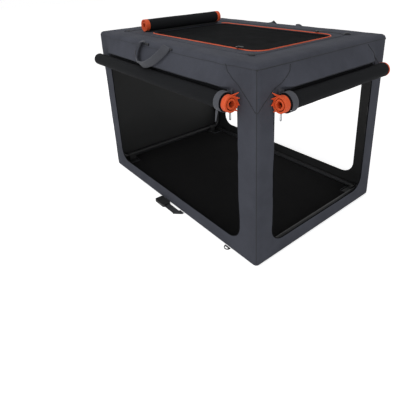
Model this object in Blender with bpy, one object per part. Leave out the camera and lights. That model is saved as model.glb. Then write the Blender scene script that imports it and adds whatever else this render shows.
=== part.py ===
"""Soft folding dog crate.

A steel tube frame inside a cloth cover. The floor and the roof are two shallow
cloth trays, each stiffened by two side rails. At each end a U of bent tube turns
in the floor's corner brackets, and a second U turns in the roof's brackets. Knees
join the two halfway up, a little outside the line of the pivots, so that they lock
when they are straight. Pushed inwards, they let the roof sink straight down.

X runs along the length towards the open end, Y across, Z up. The origin is the
centre of the footprint, on the ground.
"""

import math

import bmesh
import bpy
from mathutils import Matrix, Vector

# Overall size of the set-up crate, over its cloth
LENGTH = 0.914
WIDTH = 0.610
HEIGHT = 0.610

# Clearances: between pieces that touch, between pieces that turn, and past a cut
GAP = 0.0003
RUNNING = 0.001
OVERRUN = 0.010

# Cloth cover
CLOTH = 0.003
CORNER_RADIUS = 0.015
EDGE_ROUND = 0.008
TOP_BAND = 0.075
BOTTOM_BAND = 0.055
SIDE_BAND = 0.072
END_BAND = 0.066
OPENING_RADIUS = 0.050
FILLET_REACH_SHARE = 0.8

# Steel tube frame and its corner brackets
TUBE_RADIUS = 0.008
TUBE_WALL = 0.0012
TUBE_BEND = 0.030
SOCKET_WALL = 0.0029
SOCKET_DEPTH = 0.045
SOCKET_FLOOR = 0.005
CLIP_WALL = 0.004
CLIP_WIDTH = 0.030
CLIP_TO_BEND = 0.004
CLIP_MOUTH_SHARE = 0.8

# Knees halfway up the end frames
KNEE_OFFSET = 0.008
KNEE_RADIUS = 0.008
KNEE_TO_CLOTH = 0.003
KNEE_TO_TUBE = 0.024
KNEE_SLEEVE = 0.031
KNEE_SLEEVE_WALL = 0.0019
KNEE_PLATE_REACH = 0.030
TONGUE = 0.006
CHEEK = 0.0035
RIVET_RADIUS = 0.003
RIVET_HEAD_RADIUS = 0.005
RIVET_HEAD = 0.0015

# Floor mat
MAT_THICKNESS = 0.014
MAT_CROWN = 0.003
MAT_EDGE = 0.005
MAT_CORNER = 0.012
MAT_CLEARANCE = 0.002
MAT_SHOULDER = 0.036
MAT_SHOULDER_SHARE = 0.67

# Roof hatch: its mesh panel, the zip round three sides, and the zip's sliders
HATCH_TO_OPEN_END = 0.117
HATCH_TO_CLOSED_END = 0.207
HATCH_TO_SIDE = 0.120
HATCH_RADIUS = 0.045
MESH_THICKNESS = 0.0015
ZIP_RADIUS = 0.0025
ZIP_SETBACK = 0.003
SLIDER_FROM_HEAD = 0.078
SLIDER_LENGTH = 0.012
SLIDER_WIDTH = 0.009
SLIDER_HEIGHT = 0.004
TAB_LENGTH = 0.024
TAB_WIDTH = 0.007
TAB_THICKNESS = 0.0018

# Rolled doors: each is one cloth wound up on itself, with a flat neck to its seam
ROLL_RADIUS = 0.025
ROLL_CLOTH = 0.0045
ROLL_PITCH = 0.0055
ROLL_TURNS = 3.0
ROLL_NECK = 0.039
ROLL_SEAM_OVERLAP = 0.010
ROLL_END = 0.014
SIDE_ROLL_FROM_CLOSED_END = 0.012
SIDE_ROLL_FROM_OPEN_END = 0.065
END_ROLL_FROM_NEAR_SIDE = 0.055
END_ROLL_FROM_FAR_SIDE = 0.043
HATCH_ROLL_OVERHANG = 0.003

# Webbing ties round the rolled doors
TIE_THICKNESS = 0.0014
TIE_WIDTH = 0.020
TIE_TAB = 0.020
TIE_TOP_TO_SEAM = 0.015
TIE_FROM_END = 0.030
TIE_BACK_RISE = 0.018

# Wire pulls of the door zips
PULL_LENGTH = 0.022
PULL_WIDTH = 0.009
PULL_WIRE = 0.0026
PULL_THICKNESS = 0.0018

# Carry handles of folded webbing on the two long sides
HANDLE_DROP_FROM_TOP = 0.012
HANDLE_LENGTH = 0.085
HANDLE_HALF_SPAN = 0.085
HANDLE_WEBBING = 0.025
HANDLE_THICKNESS = 0.003
HANDLE_RADIUS = 0.048

# Storage strap with its buckle, and the tie-down loop, both on the ground in front
STRAP_X = 0.083
STRAP_LENGTH = 0.083
STRAP_WIDTH = 0.025
STRAP_THICKNESS = 0.002
STRAP_TUCK = 0.002
STRAP_FROM_WALL = 0.0055
BUCKLE_LENGTH = 0.062
BUCKLE_WIDTH = 0.034
BUCKLE_THICKNESS = 0.010
BUCKLE_ROUND = 0.007
BUCKLE_WALL = 0.0022
BUCKLE_MOUTH_DEPTH = 0.034
BUCKLE_WINDOW_LENGTH = 0.014
BUCKLE_WINDOW_FROM_MOUTH = 0.012
LOOP_FROM_OPEN_END = 0.128
LOOP_RADIUS = 0.012
LOOP_WIRE = 0.0034
LOOP_THICKNESS = 0.003
LOOP_TUCK = 0.001

# Facets
CORNER_STEPS = 5
EDGE_STEPS = 2
TUBE_SIDES = 12
ROUND_SIDES = 20
BEND_STEPS = 5
SPIRAL_STEPS = 16

# Places worked out from the sizes above
SOCKET_RADIUS = TUBE_RADIUS + GAP + SOCKET_WALL
RAIL_Y = WIDTH / 2 - CLOTH - GAP - SOCKET_RADIUS
RAIL_Z = CLOTH + GAP + SOCKET_RADIUS
PIVOT_X = LENGTH / 2 - CLOTH - KNEE_TO_CLOTH - KNEE_RADIUS - KNEE_OFFSET
PIVOT_Z = RAIL_Z + SOCKET_RADIUS + RUNNING + TUBE_RADIUS
KNEE_X = PIVOT_X + KNEE_OFFSET
CLIP_OUT_Y = RAIL_Y - TUBE_BEND - CLIP_TO_BEND
KNEE_Z = HEIGHT / 2
LEG_Y = RAIL_Y
OPENING_BOTTOM = BOTTOM_BAND
OPENING_TOP = HEIGHT - TOP_BAND
HATCH_HEAD_X = LENGTH / 2 - HATCH_TO_OPEN_END
HATCH_FOOT_X = -LENGTH / 2 + HATCH_TO_CLOSED_END
HATCH_HALF_WIDTH = WIDTH / 2 - HATCH_TO_SIDE
ROLL_OUT = GAP + ROLL_RADIUS
SEAM_Z = OPENING_TOP + ROLL_SEAM_OVERLAP
ROLL_Z = SEAM_Z - ROLL_NECK
PULL_TOP = ROLL_Z - ROLL_RADIUS + ROLL_PITCH / 4 - GAP
LOOP_X = LENGTH / 2 - LOOP_FROM_OPEN_END
HANDLE_HINGE = Vector((0, HEIGHT - HANDLE_DROP_FROM_TOP, GAP + HANDLE_THICKNESS / 2))
SIDES = (("near", -1), ("far", 1))
ENDS = (("open", 1), ("closed", -1))


def face_matrix(origin, along, up):
    """Turns a face's own (along, up, out) coordinates into world ones."""
    along, up = Vector(along), Vector(up)
    turned = Matrix((along, up, along.cross(up))).transposed()
    return Matrix.Translation(origin) @ turned.to_4x4()


NEAR_FACE = face_matrix((0, -WIDTH / 2, 0), (1, 0, 0), (0, 0, 1))
FAR_FACE = face_matrix((0, WIDTH / 2, 0), (-1, 0, 0), (0, 0, 1))
OPEN_END_FACE = face_matrix((LENGTH / 2, 0, 0), (0, 1, 0), (0, 0, 1))
ROOF_FACE = face_matrix((0, 0, HEIGHT), (0, -1, 0), (1, 0, 0))


# Helpers that build and place a mesh

def clear_scene():
    for obj in list(bpy.data.objects):
        bpy.data.objects.remove(obj, do_unlink=True)


def principled(name, colour, roughness, metallic=0.0):
    material = bpy.data.materials.new(name)
    material.use_nodes = True
    shader = material.node_tree.nodes["Principled BSDF"]
    shader.inputs["Base Color"].default_value = (*colour, 1.0)
    shader.inputs["Roughness"].default_value = roughness
    shader.inputs["Metallic"].default_value = metallic
    return material


def new_object(name, bm, smooth=False):
    """Makes a mesh object of bm, with its faces turned outwards."""
    bmesh.ops.recalc_face_normals(bm, faces=bm.faces)
    mesh = bpy.data.meshes.new(name)
    bm.to_mesh(mesh)
    bm.free()
    if smooth:
        mesh.shade_smooth()
        mesh.set_sharp_from_angle(angle=math.radians(35))
    obj = bpy.data.objects.new(name, mesh)
    bpy.context.collection.objects.link(obj)
    return obj


def loft(name, rings, smooth=True):
    """Bridges rings of equal count and closes both ends."""
    bm = bmesh.new()
    rows = [[bm.verts.new(point) for point in ring] for ring in rings]
    count = len(rows[0])
    for lower, upper in zip(rows, rows[1:]):
        for i in range(count):
            j = (i + 1) % count
            bm.faces.new((lower[i], lower[j], upper[j], upper[i]))
    bm.faces.new(rows[0])
    bm.faces.new(rows[-1])
    return new_object(name, bm, smooth)


def prism(name, outline, low, high, axes="XYZ", smooth=False):
    """Extrudes an outline; axes names the axis of its first and second value, then of the extrusion."""
    order = ["XYZ".index(axis) for axis in axes]
    rings = []
    for height in (low, high):
        ring = []
        for first, second in outline:
            point = [0, 0, 0]
            for axis, value in zip(order, (first, second, height)):
                point[axis] = value
            ring.append(point)
        rings.append(ring)
    return loft(name, rings, smooth)


def circle(centre, radius, sides=ROUND_SIDES):
    return arc(centre, radius, 0, 360, sides)[:-1]


def arc(centre, radius, start, stop, steps):
    """Points on an arc between two angles in degrees, both ends included."""
    points = []
    for step in range(steps + 1):
        angle = math.radians(start + (stop - start) * step / steps)
        points.append((centre[0] + radius * math.cos(angle), centre[1] + radius * math.sin(angle)))
    return points


def rounded_rectangle(low, high, radius, steps=CORNER_STEPS):
    corners = (
        ((high[0] - radius, high[1] - radius), 0),
        ((low[0] + radius, high[1] - radius), 90),
        ((low[0] + radius, low[1] + radius), 180),
        ((high[0] - radius, low[1] + radius), 270),
    )
    return [point for centre, start in corners for point in arc(centre, radius, start, start + 90, steps)]


def stadium(first, second, radius, steps=2 * CORNER_STEPS):
    """The outline round two equal circles."""
    heading = math.degrees(math.atan2(second[1] - first[1], second[0] - first[0]))
    outline = arc(second, radius, heading - 90, heading + 90, steps)
    return outline + arc(first, radius, heading + 90, heading + 270, steps)


def box(name, low, high):
    outline = [(low[0], low[1]), (high[0], low[1]), (high[0], high[1]), (low[0], high[1])]
    return prism(name, outline, low[2], high[2])


def span(first, second):
    return (min(first, second), max(first, second))


def box_corners(along_x, along_y, along_z):
    """The lowest and highest corner of a box, from its span along each axis."""
    return tuple(zip(along_x, along_y, along_z))


def ribbon(path, thickness):
    """The closed outline of a band that follows a path, half its thickness to each side."""
    left, right = [], []
    for i, point in enumerate(path):
        before = Vector(path[max(i - 1, 0)])
        after = Vector(path[min(i + 1, len(path) - 1)])
        heading = (after - before).normalized()
        side = Vector((-heading.y, heading.x)) * thickness / 2
        left.append(tuple(Vector(point) + side))
        right.append(tuple(Vector(point) - side))
    return left + right[::-1]


def swept_tube(name, path, radius, sides=TUBE_SIDES):
    """A round tube along a path in a plane of constant X."""
    rings = []
    for i, point in enumerate(path):
        before = Vector(path[max(i - 1, 0)])
        after = Vector(path[min(i + 1, len(path) - 1)])
        heading = (after - before).normalized()
        side = heading.cross(Vector((1, 0, 0)))
        ring = []
        for step in range(sides):
            turn = 2 * math.pi * step / sides
            spoke = math.cos(turn) * Vector((1, 0, 0)) + math.sin(turn) * side
            ring.append(Vector(point) + radius * spoke)
        rings.append(ring)
    return loft(name, rings)


def hollow_tube(name, path):
    """A swept steel tube whose bore is open at both ends."""
    tube = swept_tube(name, path, TUBE_RADIUS)
    ends = []
    for tip, neighbour in ((path[0], path[1]), (path[-1], path[-2])):
        heading = (Vector(tip) - Vector(neighbour)).normalized()
        ends.append(tuple(Vector(tip) + OVERRUN * heading))
    bore = swept_tube(f"{name}_bore", [ends[0], *path[1:-1], ends[1]], TUBE_RADIUS - TUBE_WALL)
    combine(tube, bore, "DIFFERENCE")
    return tube


def combine(target, tool, operation):
    """Adds a Boolean to target and puts its tool out of the render."""
    modifier = target.modifiers.new(tool.name, "BOOLEAN")
    modifier.operation = operation
    modifier.solver = "EXACT"
    modifier.object = tool
    tool.hide_render = True
    tool.display_type = "WIRE"


def joint_empty(name, place, parent=None):
    empty = bpy.data.objects.new(name, None)
    bpy.context.collection.objects.link(empty)
    empty.empty_display_size = TOP_BAND
    empty["place"] = place
    empty.parent = parent
    empty.location = Vector(place) - Vector(parent["place"]) if parent else place
    return empty


def finish(obj, material, pivot=None):
    """Gives an object its material and, if it moves, its origin on the joint's axis."""
    obj.data.materials.append(material)
    if pivot:
        obj.data.transform(Matrix.Translation(-Vector(pivot["place"])))
        obj.parent = pivot
    return obj


# The cloth cover

def tray_rings(mouth, closed):
    """Rings of a shallow cloth tray with rounded edges, from its mouth's height to its closed face."""
    sign = 1 if closed > mouth else -1
    centre = (EDGE_ROUND, closed - sign * EDGE_ROUND)
    profile = arc(centre, EDGE_ROUND - CLOTH, sign * 90, sign * 180, EDGE_STEPS)
    profile += [(CLOTH, mouth), (0, mouth)]
    profile += arc(centre, EDGE_ROUND, sign * 180, sign * 90, EDGE_STEPS)
    rings = []
    for inset, height in profile:
        half = (LENGTH / 2 - inset, WIDTH / 2 - inset)
        outline = rounded_rectangle((-half[0], -half[1]), half, CORNER_RADIUS - inset)
        rings.append([(x, y, height) for x, y in outline])
    return rings


def hatch_outline(margin):
    """The hatch's outline, grown outwards by a margin."""
    low = (HATCH_FOOT_X - margin, -HATCH_HALF_WIDTH - margin)
    high = (HATCH_HEAD_X + margin, HATCH_HALF_WIDTH + margin)
    return rounded_rectangle(low, high, HATCH_RADIUS + margin)


def build_trays(cloth, mesh_cloth, roof):
    floor = loft("floor_cloth", tray_rings(BOTTOM_BAND, 0))
    finish(floor, cloth)
    cap = loft("roof_cloth", tray_rings(OPENING_TOP, HEIGHT))
    combine(cap, prism("hatch_cutter", hatch_outline(0), OPENING_TOP, HEIGHT + OVERRUN), "DIFFERENCE")
    finish(cap, cloth, roof)
    panel = prism("hatch_mesh", hatch_outline(-GAP), HEIGHT - MESH_THICKNESS - GAP, HEIGHT - GAP)
    finish(panel, mesh_cloth, roof)


def sleeve_outline(sign_x, sign_y):
    """Plan of the cloth round one corner post, which reaches past the fillets beside the doorways."""
    reach_x = SIDE_BAND + FILLET_REACH_SHARE * OPENING_RADIUS
    reach_y = END_BAND + (FILLET_REACH_SHARE * OPENING_RADIUS if sign_x > 0 else 0)
    centre = (LENGTH / 2 - CORNER_RADIUS, WIDTH / 2 - CORNER_RADIUS)
    outer = [(LENGTH / 2, WIDTH / 2 - reach_y)]
    outer += arc(centre, CORNER_RADIUS, 0, 90, CORNER_STEPS)
    outer += [(LENGTH / 2 - reach_x, WIDTH / 2)]
    inner = [(LENGTH / 2 - reach_x, WIDTH / 2 - CLOTH)]
    inner += arc(centre, CORNER_RADIUS - CLOTH, 90, 0, CORNER_STEPS)
    inner += [(LENGTH / 2 - CLOTH, WIDTH / 2 - reach_y)]
    return [(sign_x * x, sign_y * y) for x, y in outer + inner]


def build_walls(cloth):
    side_low = (-LENGTH / 2 + SIDE_BAND, OPENING_BOTTOM)
    side_high = (LENGTH / 2 - SIDE_BAND, OPENING_TOP)
    side_doorway = prism("side_doorway_cutter", rounded_rectangle(side_low, side_high, OPENING_RADIUS),
                         -WIDTH / 2 - OVERRUN, WIDTH / 2 + OVERRUN, "XZY")
    end_low = (-WIDTH / 2 + END_BAND, OPENING_BOTTOM)
    end_high = (WIDTH / 2 - END_BAND, OPENING_TOP)
    end_doorway = prism("end_doorway_cutter", rounded_rectangle(end_low, end_high, OPENING_RADIUS),
                        PIVOT_X, LENGTH / 2 + OVERRUN, "YZX")
    for end, sign_x in ENDS:
        for side, sign_y in SIDES:
            sleeve = prism(f"corner_sleeve_{side}_{end}", sleeve_outline(sign_x, sign_y),
                           OPENING_BOTTOM + GAP, OPENING_TOP - GAP, smooth=True)
            combine(sleeve, side_doorway, "DIFFERENCE")
            if sign_x > 0:
                combine(sleeve, end_doorway, "DIFFERENCE")
            finish(sleeve, cloth)
    half = WIDTH / 2 - END_BAND - GAP
    panel = box("closed_end_panel", (-LENGTH / 2, -half, OPENING_BOTTOM + GAP),
                (-LENGTH / 2 + CLOTH, half, OPENING_TOP - GAP))
    finish(panel, cloth)


# The steel frame

def build_rails(steel, roof):
    half = PIVOT_X - SOCKET_FLOOR - GAP
    for side, sign_y in SIDES:
        for level, height, pivot in (("floor", RAIL_Z, None), ("roof", HEIGHT - RAIL_Z, roof)):
            centre = (sign_y * RAIL_Y, height)
            outline = circle(centre, TUBE_RADIUS, TUBE_SIDES)
            rail = prism(f"{level}_rail_{side}", outline, -half, half, "YZX", smooth=True)
            bore = circle(centre, TUBE_RADIUS - TUBE_WALL, TUBE_SIDES)
            cutter = prism(f"{rail.name}_bore", bore, -half - OVERRUN, half + OVERRUN, "YZX")
            combine(rail, cutter, "DIFFERENCE")
            finish(rail, steel, pivot)


def corner_bracket(name, sign_x, sign_y, level):
    """A socket on the side rail's end and a snap clip for the cross bar; level is 1 on the floor."""
    ground = 0 if level > 0 else HEIGHT
    rail_z = ground + level * RAIL_Z
    pivot_z = ground + level * PIVOT_Z
    seat_z = ground + level * (CLOTH + GAP)
    socket_x = span(sign_x * (PIVOT_X - SOCKET_DEPTH), sign_x * (LENGTH / 2 - CORNER_RADIUS))
    clip_radius = TUBE_RADIUS + GAP + CLIP_WALL
    clip_in = CLIP_OUT_Y - CLIP_WIDTH
    clip_y = span(sign_y * clip_in, sign_y * CLIP_OUT_Y)
    clip_x = span(sign_x * (PIVOT_X - clip_radius), sign_x * (PIVOT_X + clip_radius))
    socket = circle((sign_y * RAIL_Y, rail_z), SOCKET_RADIUS)
    bracket = prism(name, socket, *socket_x, "YZX", smooth=True)

    web_y = span(sign_y * clip_in, sign_y * RAIL_Y)
    combine(bracket, box(f"{name}_web", *box_corners(socket_x, web_y, span(seat_z, rail_z))), "UNION")
    combine(bracket, box(f"{name}_foot", *box_corners(clip_x, clip_y, span(seat_z, pivot_z))), "UNION")
    centre = (sign_x * PIVOT_X, pivot_z)
    combine(bracket, prism(f"{name}_clip", circle(centre, clip_radius), *clip_y, "XZY"), "UNION")

    rail_bore_x = span(sign_x * (PIVOT_X - SOCKET_DEPTH - OVERRUN), sign_x * (PIVOT_X - SOCKET_FLOOR))
    rail_bore = circle((sign_y * RAIL_Y, rail_z), TUBE_RADIUS + GAP)
    combine(bracket, prism(f"{name}_rail_bore", rail_bore, *rail_bore_x, "YZX"), "DIFFERENCE")
    bar_bore_y = (clip_y[0] - OVERRUN, clip_y[1] + OVERRUN)
    bar_bore = circle(centre, TUBE_RADIUS + GAP)
    combine(bracket, prism(f"{name}_bar_bore", bar_bore, *bar_bore_y, "XZY"), "DIFFERENCE")
    mouth = CLIP_MOUTH_SHARE * TUBE_RADIUS
    mouth_x = (centre[0] - mouth, centre[0] + mouth)
    mouth_z = span(pivot_z, pivot_z + level * (clip_radius + OVERRUN))
    combine(bracket, box(f"{name}_mouth", *box_corners(mouth_x, bar_bore_y, mouth_z)), "DIFFERENCE")
    return bracket


def build_brackets(plastic, roof):
    for end, sign_x in ENDS:
        for side, sign_y in SIDES:
            finish(corner_bracket(f"floor_bracket_{side}_{end}", sign_x, sign_y, 1), plastic)
            finish(corner_bracket(f"roof_bracket_{side}_{end}", sign_x, sign_y, -1), plastic, roof)


def end_frame(name, sign_x, level):
    """A U of tube: the cross bar in the brackets and two legs that stop short of the knees."""
    bar_z = PIVOT_Z if level > 0 else HEIGHT - PIVOT_Z
    tip_z = KNEE_Z - level * KNEE_TO_TUBE
    bend_z = bar_z + level * TUBE_BEND
    bend_y = LEG_Y - TUBE_BEND
    path = [(-LEG_Y, tip_z)]
    path += arc((-bend_y, bend_z), TUBE_BEND, 180, 180 + level * 90, BEND_STEPS)
    path += arc((bend_y, bend_z), TUBE_BEND, -level * 90, 0, BEND_STEPS)
    path += [(LEG_Y, tip_z)]
    return hollow_tube(name, [(sign_x * PIVOT_X, y, z) for y, z in path])


def knee_half(name, sign_x, sign_y, level, plates):
    """A sleeve over a leg's end, with plates that reach to the knee's rivet, each a span across."""
    leg_x = sign_x * PIVOT_X
    leg_y = sign_y * LEG_Y
    top_z = KNEE_Z - level * (KNEE_TO_TUBE - SOCKET_FLOOR)
    sleeve_z = span(top_z, KNEE_Z - level * (KNEE_TO_TUBE + KNEE_SLEEVE))
    radius = TUBE_RADIUS + GAP + KNEE_SLEEVE_WALL
    half = prism(name, circle((leg_x, leg_y), radius), *sleeve_z, smooth=True)
    rivet = (sign_x * KNEE_X, KNEE_Z)
    plate = stadium((leg_x, KNEE_Z - level * KNEE_PLATE_REACH), rivet, KNEE_RADIUS)
    for low, high in plates:
        combine(half, prism(f"{name}_plate", plate, leg_y + low, leg_y + high, "XZY"), "UNION")
    bore_foot = KNEE_Z - level * (KNEE_TO_TUBE + KNEE_SLEEVE + OVERRUN)
    bore = circle((leg_x, leg_y), TUBE_RADIUS + GAP)
    bore_z = span(KNEE_Z - level * (KNEE_TO_TUBE - GAP), bore_foot)
    combine(half, prism(f"{name}_bore", bore, *bore_z), "DIFFERENCE")
    return half


def build_knees(plastic, lowers, uppers):
    slot = TONGUE / 2 + GAP
    outside = slot + CHEEK
    for end, sign_x in ENDS:
        for side, sign_y in SIDES:
            leg_y = sign_y * LEG_Y
            centre = (sign_x * KNEE_X, KNEE_Z)
            across = (leg_y - outside, leg_y + outside)
            cheeks = ((-outside, -slot), (slot, outside))
            fork = knee_half(f"knee_fork_{side}_{end}", sign_x, sign_y, 1, cheeks)
            shank = circle(centre, RIVET_RADIUS, TUBE_SIDES)
            combine(fork, prism(f"{fork.name}_rivet", shank, *across, "XZY"), "UNION")
            head = circle(centre, RIVET_HEAD_RADIUS, TUBE_SIDES)
            for sign in (-1, 1):
                head_y = span(leg_y + sign * (slot + CHEEK / 2), leg_y + sign * (outside + RIVET_HEAD))
                combine(fork, prism(f"{fork.name}_head", head, *head_y, "XZY"), "UNION")
            finish(fork, plastic, lowers[end])

            middle = ((-TONGUE / 2, TONGUE / 2),)
            tongue = knee_half(f"knee_tongue_{side}_{end}", sign_x, sign_y, -1, middle)
            hole = circle(centre, RIVET_RADIUS + GAP, TUBE_SIDES)
            combine(tongue, prism(f"{tongue.name}_hole", hole, *across, "XZY"), "DIFFERENCE")
            finish(tongue, plastic, uppers[end])


# The floor mat

def build_mat(fleece):
    half_x = LENGTH / 2 - CLOTH - MAT_CLEARANCE
    half_y = RAIL_Y - TUBE_RADIUS - MAT_CLEARANCE
    bottom = CLOTH + GAP
    top = bottom + MAT_THICKNESS
    profile = [(MAT_EDGE, bottom), (0, bottom + MAT_EDGE), (0, top - MAT_EDGE), (MAT_EDGE, top)]
    profile += [(MAT_SHOULDER, top + MAT_SHOULDER_SHARE * MAT_CROWN), (half_y / 2, top + MAT_CROWN)]
    rings = []
    for inset, height in profile:
        high = (half_x - inset, half_y - inset)
        outline = rounded_rectangle((-high[0], -high[1]), high, MAT_CORNER)
        rings.append([(x, y, height) for x, y in outline])
    mat = loft("floor_mat", rings)
    notch_x = PIVOT_X - SOCKET_DEPTH - MAT_CLEARANCE
    notch_y = CLIP_OUT_Y - CLIP_WIDTH - MAT_CLEARANCE
    for end, sign_x in ENDS:
        for side, sign_y in SIDES:
            across = span(sign_x * notch_x, sign_x * LENGTH / 2)
            along = span(sign_y * notch_y, sign_y * WIDTH / 2)
            notch = box(f"mat_notch_{side}_{end}", *box_corners(across, along, (0, KNEE_Z)))
            combine(mat, notch, "DIFFERENCE")
    finish(mat, fleece)


# The roof hatch's zip

def build_hatch_zip(orange, black, roof, tabs):
    """The zip runs along both long sides and round the head; a slider waits on each long side."""
    edge = ZIP_SETBACK
    radius = HATCH_RADIUS + edge
    high = (HATCH_HEAD_X + edge, HATCH_HALF_WIDTH + edge)
    start_x = HATCH_FOOT_X + HATCH_RADIUS / 2
    path = [(start_x, -high[1])]
    path += arc((high[0] - radius, -high[1] + radius), radius, -90, 0, CORNER_STEPS)
    path += arc((high[0] - radius, high[1] - radius), radius, 0, 90, CORNER_STEPS)
    path += [(start_x, high[1])]
    low_z = HEIGHT + GAP
    bead = prism("hatch_zip", ribbon(path, 2 * ZIP_RADIUS), low_z, low_z + ZIP_RADIUS)
    finish(bead, orange, roof)
    slider_x = HATCH_HEAD_X - SLIDER_FROM_HEAD
    slider_z = low_z + ZIP_RADIUS + GAP
    for side, sign_y in SIDES:
        middle = sign_y * high[1]
        half = (SLIDER_LENGTH / 2, SLIDER_WIDTH / 2)
        low = (slider_x - half[0], middle - half[1])
        outline = rounded_rectangle(low, (slider_x + half[0], middle + half[1]), SLIDER_WIDTH / 3, 2)
        finish(prism(f"hatch_slider_{side}", outline, slider_z, slider_z + SLIDER_HEIGHT), black, roof)
        tab_low = (slider_x, middle - TAB_WIDTH / 2)
        tab_high = (slider_x + TAB_LENGTH, middle + TAB_WIDTH / 2)
        tab_z = slider_z + SLIDER_HEIGHT + GAP
        outline = rounded_rectangle(tab_low, tab_high, TAB_WIDTH / 3, 2)
        finish(prism(f"hatch_tab_{side}", outline, tab_z, tab_z + TAB_THICKNESS), black, tabs[side])


# Rolled doors, their ties and pulls, in a face's own (along, up, out) coordinates

def roll_path():
    """The line of a rolled door's cloth in section, as (up, out): down the neck, then in a spiral."""
    outer = ROLL_RADIUS - ROLL_CLOTH / 2
    path = [(SEAM_Z, ROLL_OUT - outer)]
    steps = int(ROLL_TURNS * SPIRAL_STEPS)
    for step in range(steps + 1):
        angle = math.radians(180 + 360 * step / SPIRAL_STEPS)
        radius = outer - ROLL_PITCH * step / SPIRAL_STEPS
        path.append((ROLL_Z + radius * math.sin(angle), ROLL_OUT + radius * math.cos(angle)))
    return path


def rolled_piece(name, face, start, stop, shift=0):
    """A slice of a rolled door between two places along its face; shift moves the section up the face."""
    outline = [(up + shift, out) for up, out in ribbon(roll_path(), ROLL_CLOTH)]
    piece = prism(name, outline, start, stop, "YZX", smooth=True)
    piece.data.transform(face)
    return piece


def tie_path():
    """The tie's line in section: flat on the band, over the roll and under it, then up behind the neck."""
    out = GAP + TIE_THICKNESS / 2
    top = SEAM_Z + TIE_TOP_TO_SEAM
    radius = ROLL_RADIUS + GAP + TIE_THICKNESS / 2
    toward = Vector((out - ROLL_OUT, top - ROLL_Z))
    start = math.degrees(math.atan2(toward.y, toward.x) - math.acos(radius / toward.length))
    path = [(top + TIE_TAB, out), (top, out)]
    path += [(up, away) for away, up in arc((ROLL_OUT, ROLL_Z), radius, start, -180, SPIRAL_STEPS)]
    path += [(ROLL_Z + TIE_BACK_RISE, ROLL_OUT - radius)]
    return path


def build_door(name, face, start, stop, cloth, orange, webbing, roof, bound_end=1):
    """One rolled door; bound_end is 1 or -1, the end of the roll whose orange binding shows."""
    if bound_end > 0:
        cloth_span, end_span = (start, stop - ROLL_END - GAP), (stop - ROLL_END, stop)
    else:
        cloth_span, end_span = (start + ROLL_END + GAP, stop), (start, start + ROLL_END)
    finish(rolled_piece(f"{name}_roll", face, *cloth_span), cloth, roof)
    finish(rolled_piece(f"{name}_roll_binding", face, *end_span), orange, roof)
    tie_end = end_span[0] - TIE_FROM_END if bound_end > 0 else end_span[1] + TIE_FROM_END
    outline = ribbon(tie_path(), TIE_THICKNESS)
    tie_span = (tie_end - TIE_WIDTH / 2, tie_end + TIE_WIDTH / 2)
    tie = prism(f"{name}_tie", outline, *tie_span, "YZX", smooth=True)
    tie.data.transform(face)
    finish(tie, webbing, roof)


def pull_hinge(face, middle):
    """Where a door zip's pull hangs, under the bound end of the roll."""
    return face @ Vector((middle, PULL_TOP - PULL_WIRE / 2, ROLL_OUT))


def build_pull(name, face, middle, steel, pivot):
    """A long wire eye that hangs from the roll's bound end."""
    half = PULL_WIDTH / 2
    outline = stadium((middle, PULL_TOP - PULL_LENGTH + half), (middle, PULL_TOP - half), half)
    low, high = ROLL_OUT - PULL_THICKNESS / 2, ROLL_OUT + PULL_THICKNESS / 2
    pull = prism(name, outline, low, high, "XYZ", smooth=True)
    eye = stadium((middle, PULL_TOP - PULL_LENGTH + half), (middle, PULL_TOP - half), half - PULL_WIRE)
    cutter = prism(f"{name}_eye", eye, low - OVERRUN, high + OVERRUN)
    pull.data.transform(face)
    cutter.data.transform(face)
    combine(pull, cutter, "DIFFERENCE")
    finish(pull, steel, pivot)


def build_hatch_roll(cloth, orange, roof):
    """The hatch's own cloth, rolled up along its foot on the roof, with binding at both ends."""
    shift = HATCH_FOOT_X + ROLL_SEAM_OVERLAP / 2 - SEAM_Z
    half = HATCH_HALF_WIDTH + HATCH_ROLL_OVERHANG
    inner = half - ROLL_END
    finish(rolled_piece("hatch_roll", ROOF_FACE, -inner + GAP, inner - GAP, shift), cloth, roof)
    for side, sign in SIDES:
        ends = span(-sign * half, -sign * inner)
        finish(rolled_piece(f"hatch_roll_binding_{side}", ROOF_FACE, *ends, shift), orange, roof)


# Carry handles

def handle_tilt():
    """How far the webbing leans out, from hanging straight, where it rests on the rolled door."""
    toward = Vector((ROLL_OUT - HANDLE_HINGE.z, HANDLE_HINGE.y - ROLL_Z))
    reach = ROLL_RADIUS + HANDLE_THICKNESS / 2 + GAP
    return math.atan2(toward.x, toward.y) + math.asin(reach / toward.length)


def build_handle(name, face, webbing, pivot):
    """A flat loop of webbing, drawn hanging straight down from its hinge and then leant out."""
    outer = HANDLE_HALF_SPAN
    inner = outer - HANDLE_WEBBING
    bend = HANDLE_LENGTH - HANDLE_RADIUS
    inner_radius = HANDLE_RADIUS - HANDLE_WEBBING
    outline = [(-outer, 0)]
    outline += arc((-outer + HANDLE_RADIUS, -bend), HANDLE_RADIUS, 180, 270, CORNER_STEPS)
    outline += arc((outer - HANDLE_RADIUS, -bend), HANDLE_RADIUS, 270, 360, CORNER_STEPS)
    outline += [(outer, 0), (inner, 0)]
    outline += arc((inner - inner_radius, -bend), inner_radius, 360, 270, CORNER_STEPS)
    outline += arc((-inner + inner_radius, -bend), inner_radius, 270, 180, CORNER_STEPS)
    outline += [(-inner, 0)]
    handle = prism(name, outline, -HANDLE_THICKNESS / 2, HANDLE_THICKNESS / 2, "XYZ")
    lean = Matrix.Rotation(-handle_tilt(), 4, "X")
    handle.data.transform(face @ Matrix.Translation(HANDLE_HINGE) @ lean)
    finish(handle, webbing, pivot)


# The storage strap and the tie-down loop in front of the near side

def strap_hinge():
    """A point on the diagonal fold, halfway between the strap's two layers."""
    return (STRAP_X, -WIDTH / 2 - STRAP_FROM_WALL, STRAP_THICKNESS + GAP / 2)


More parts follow.
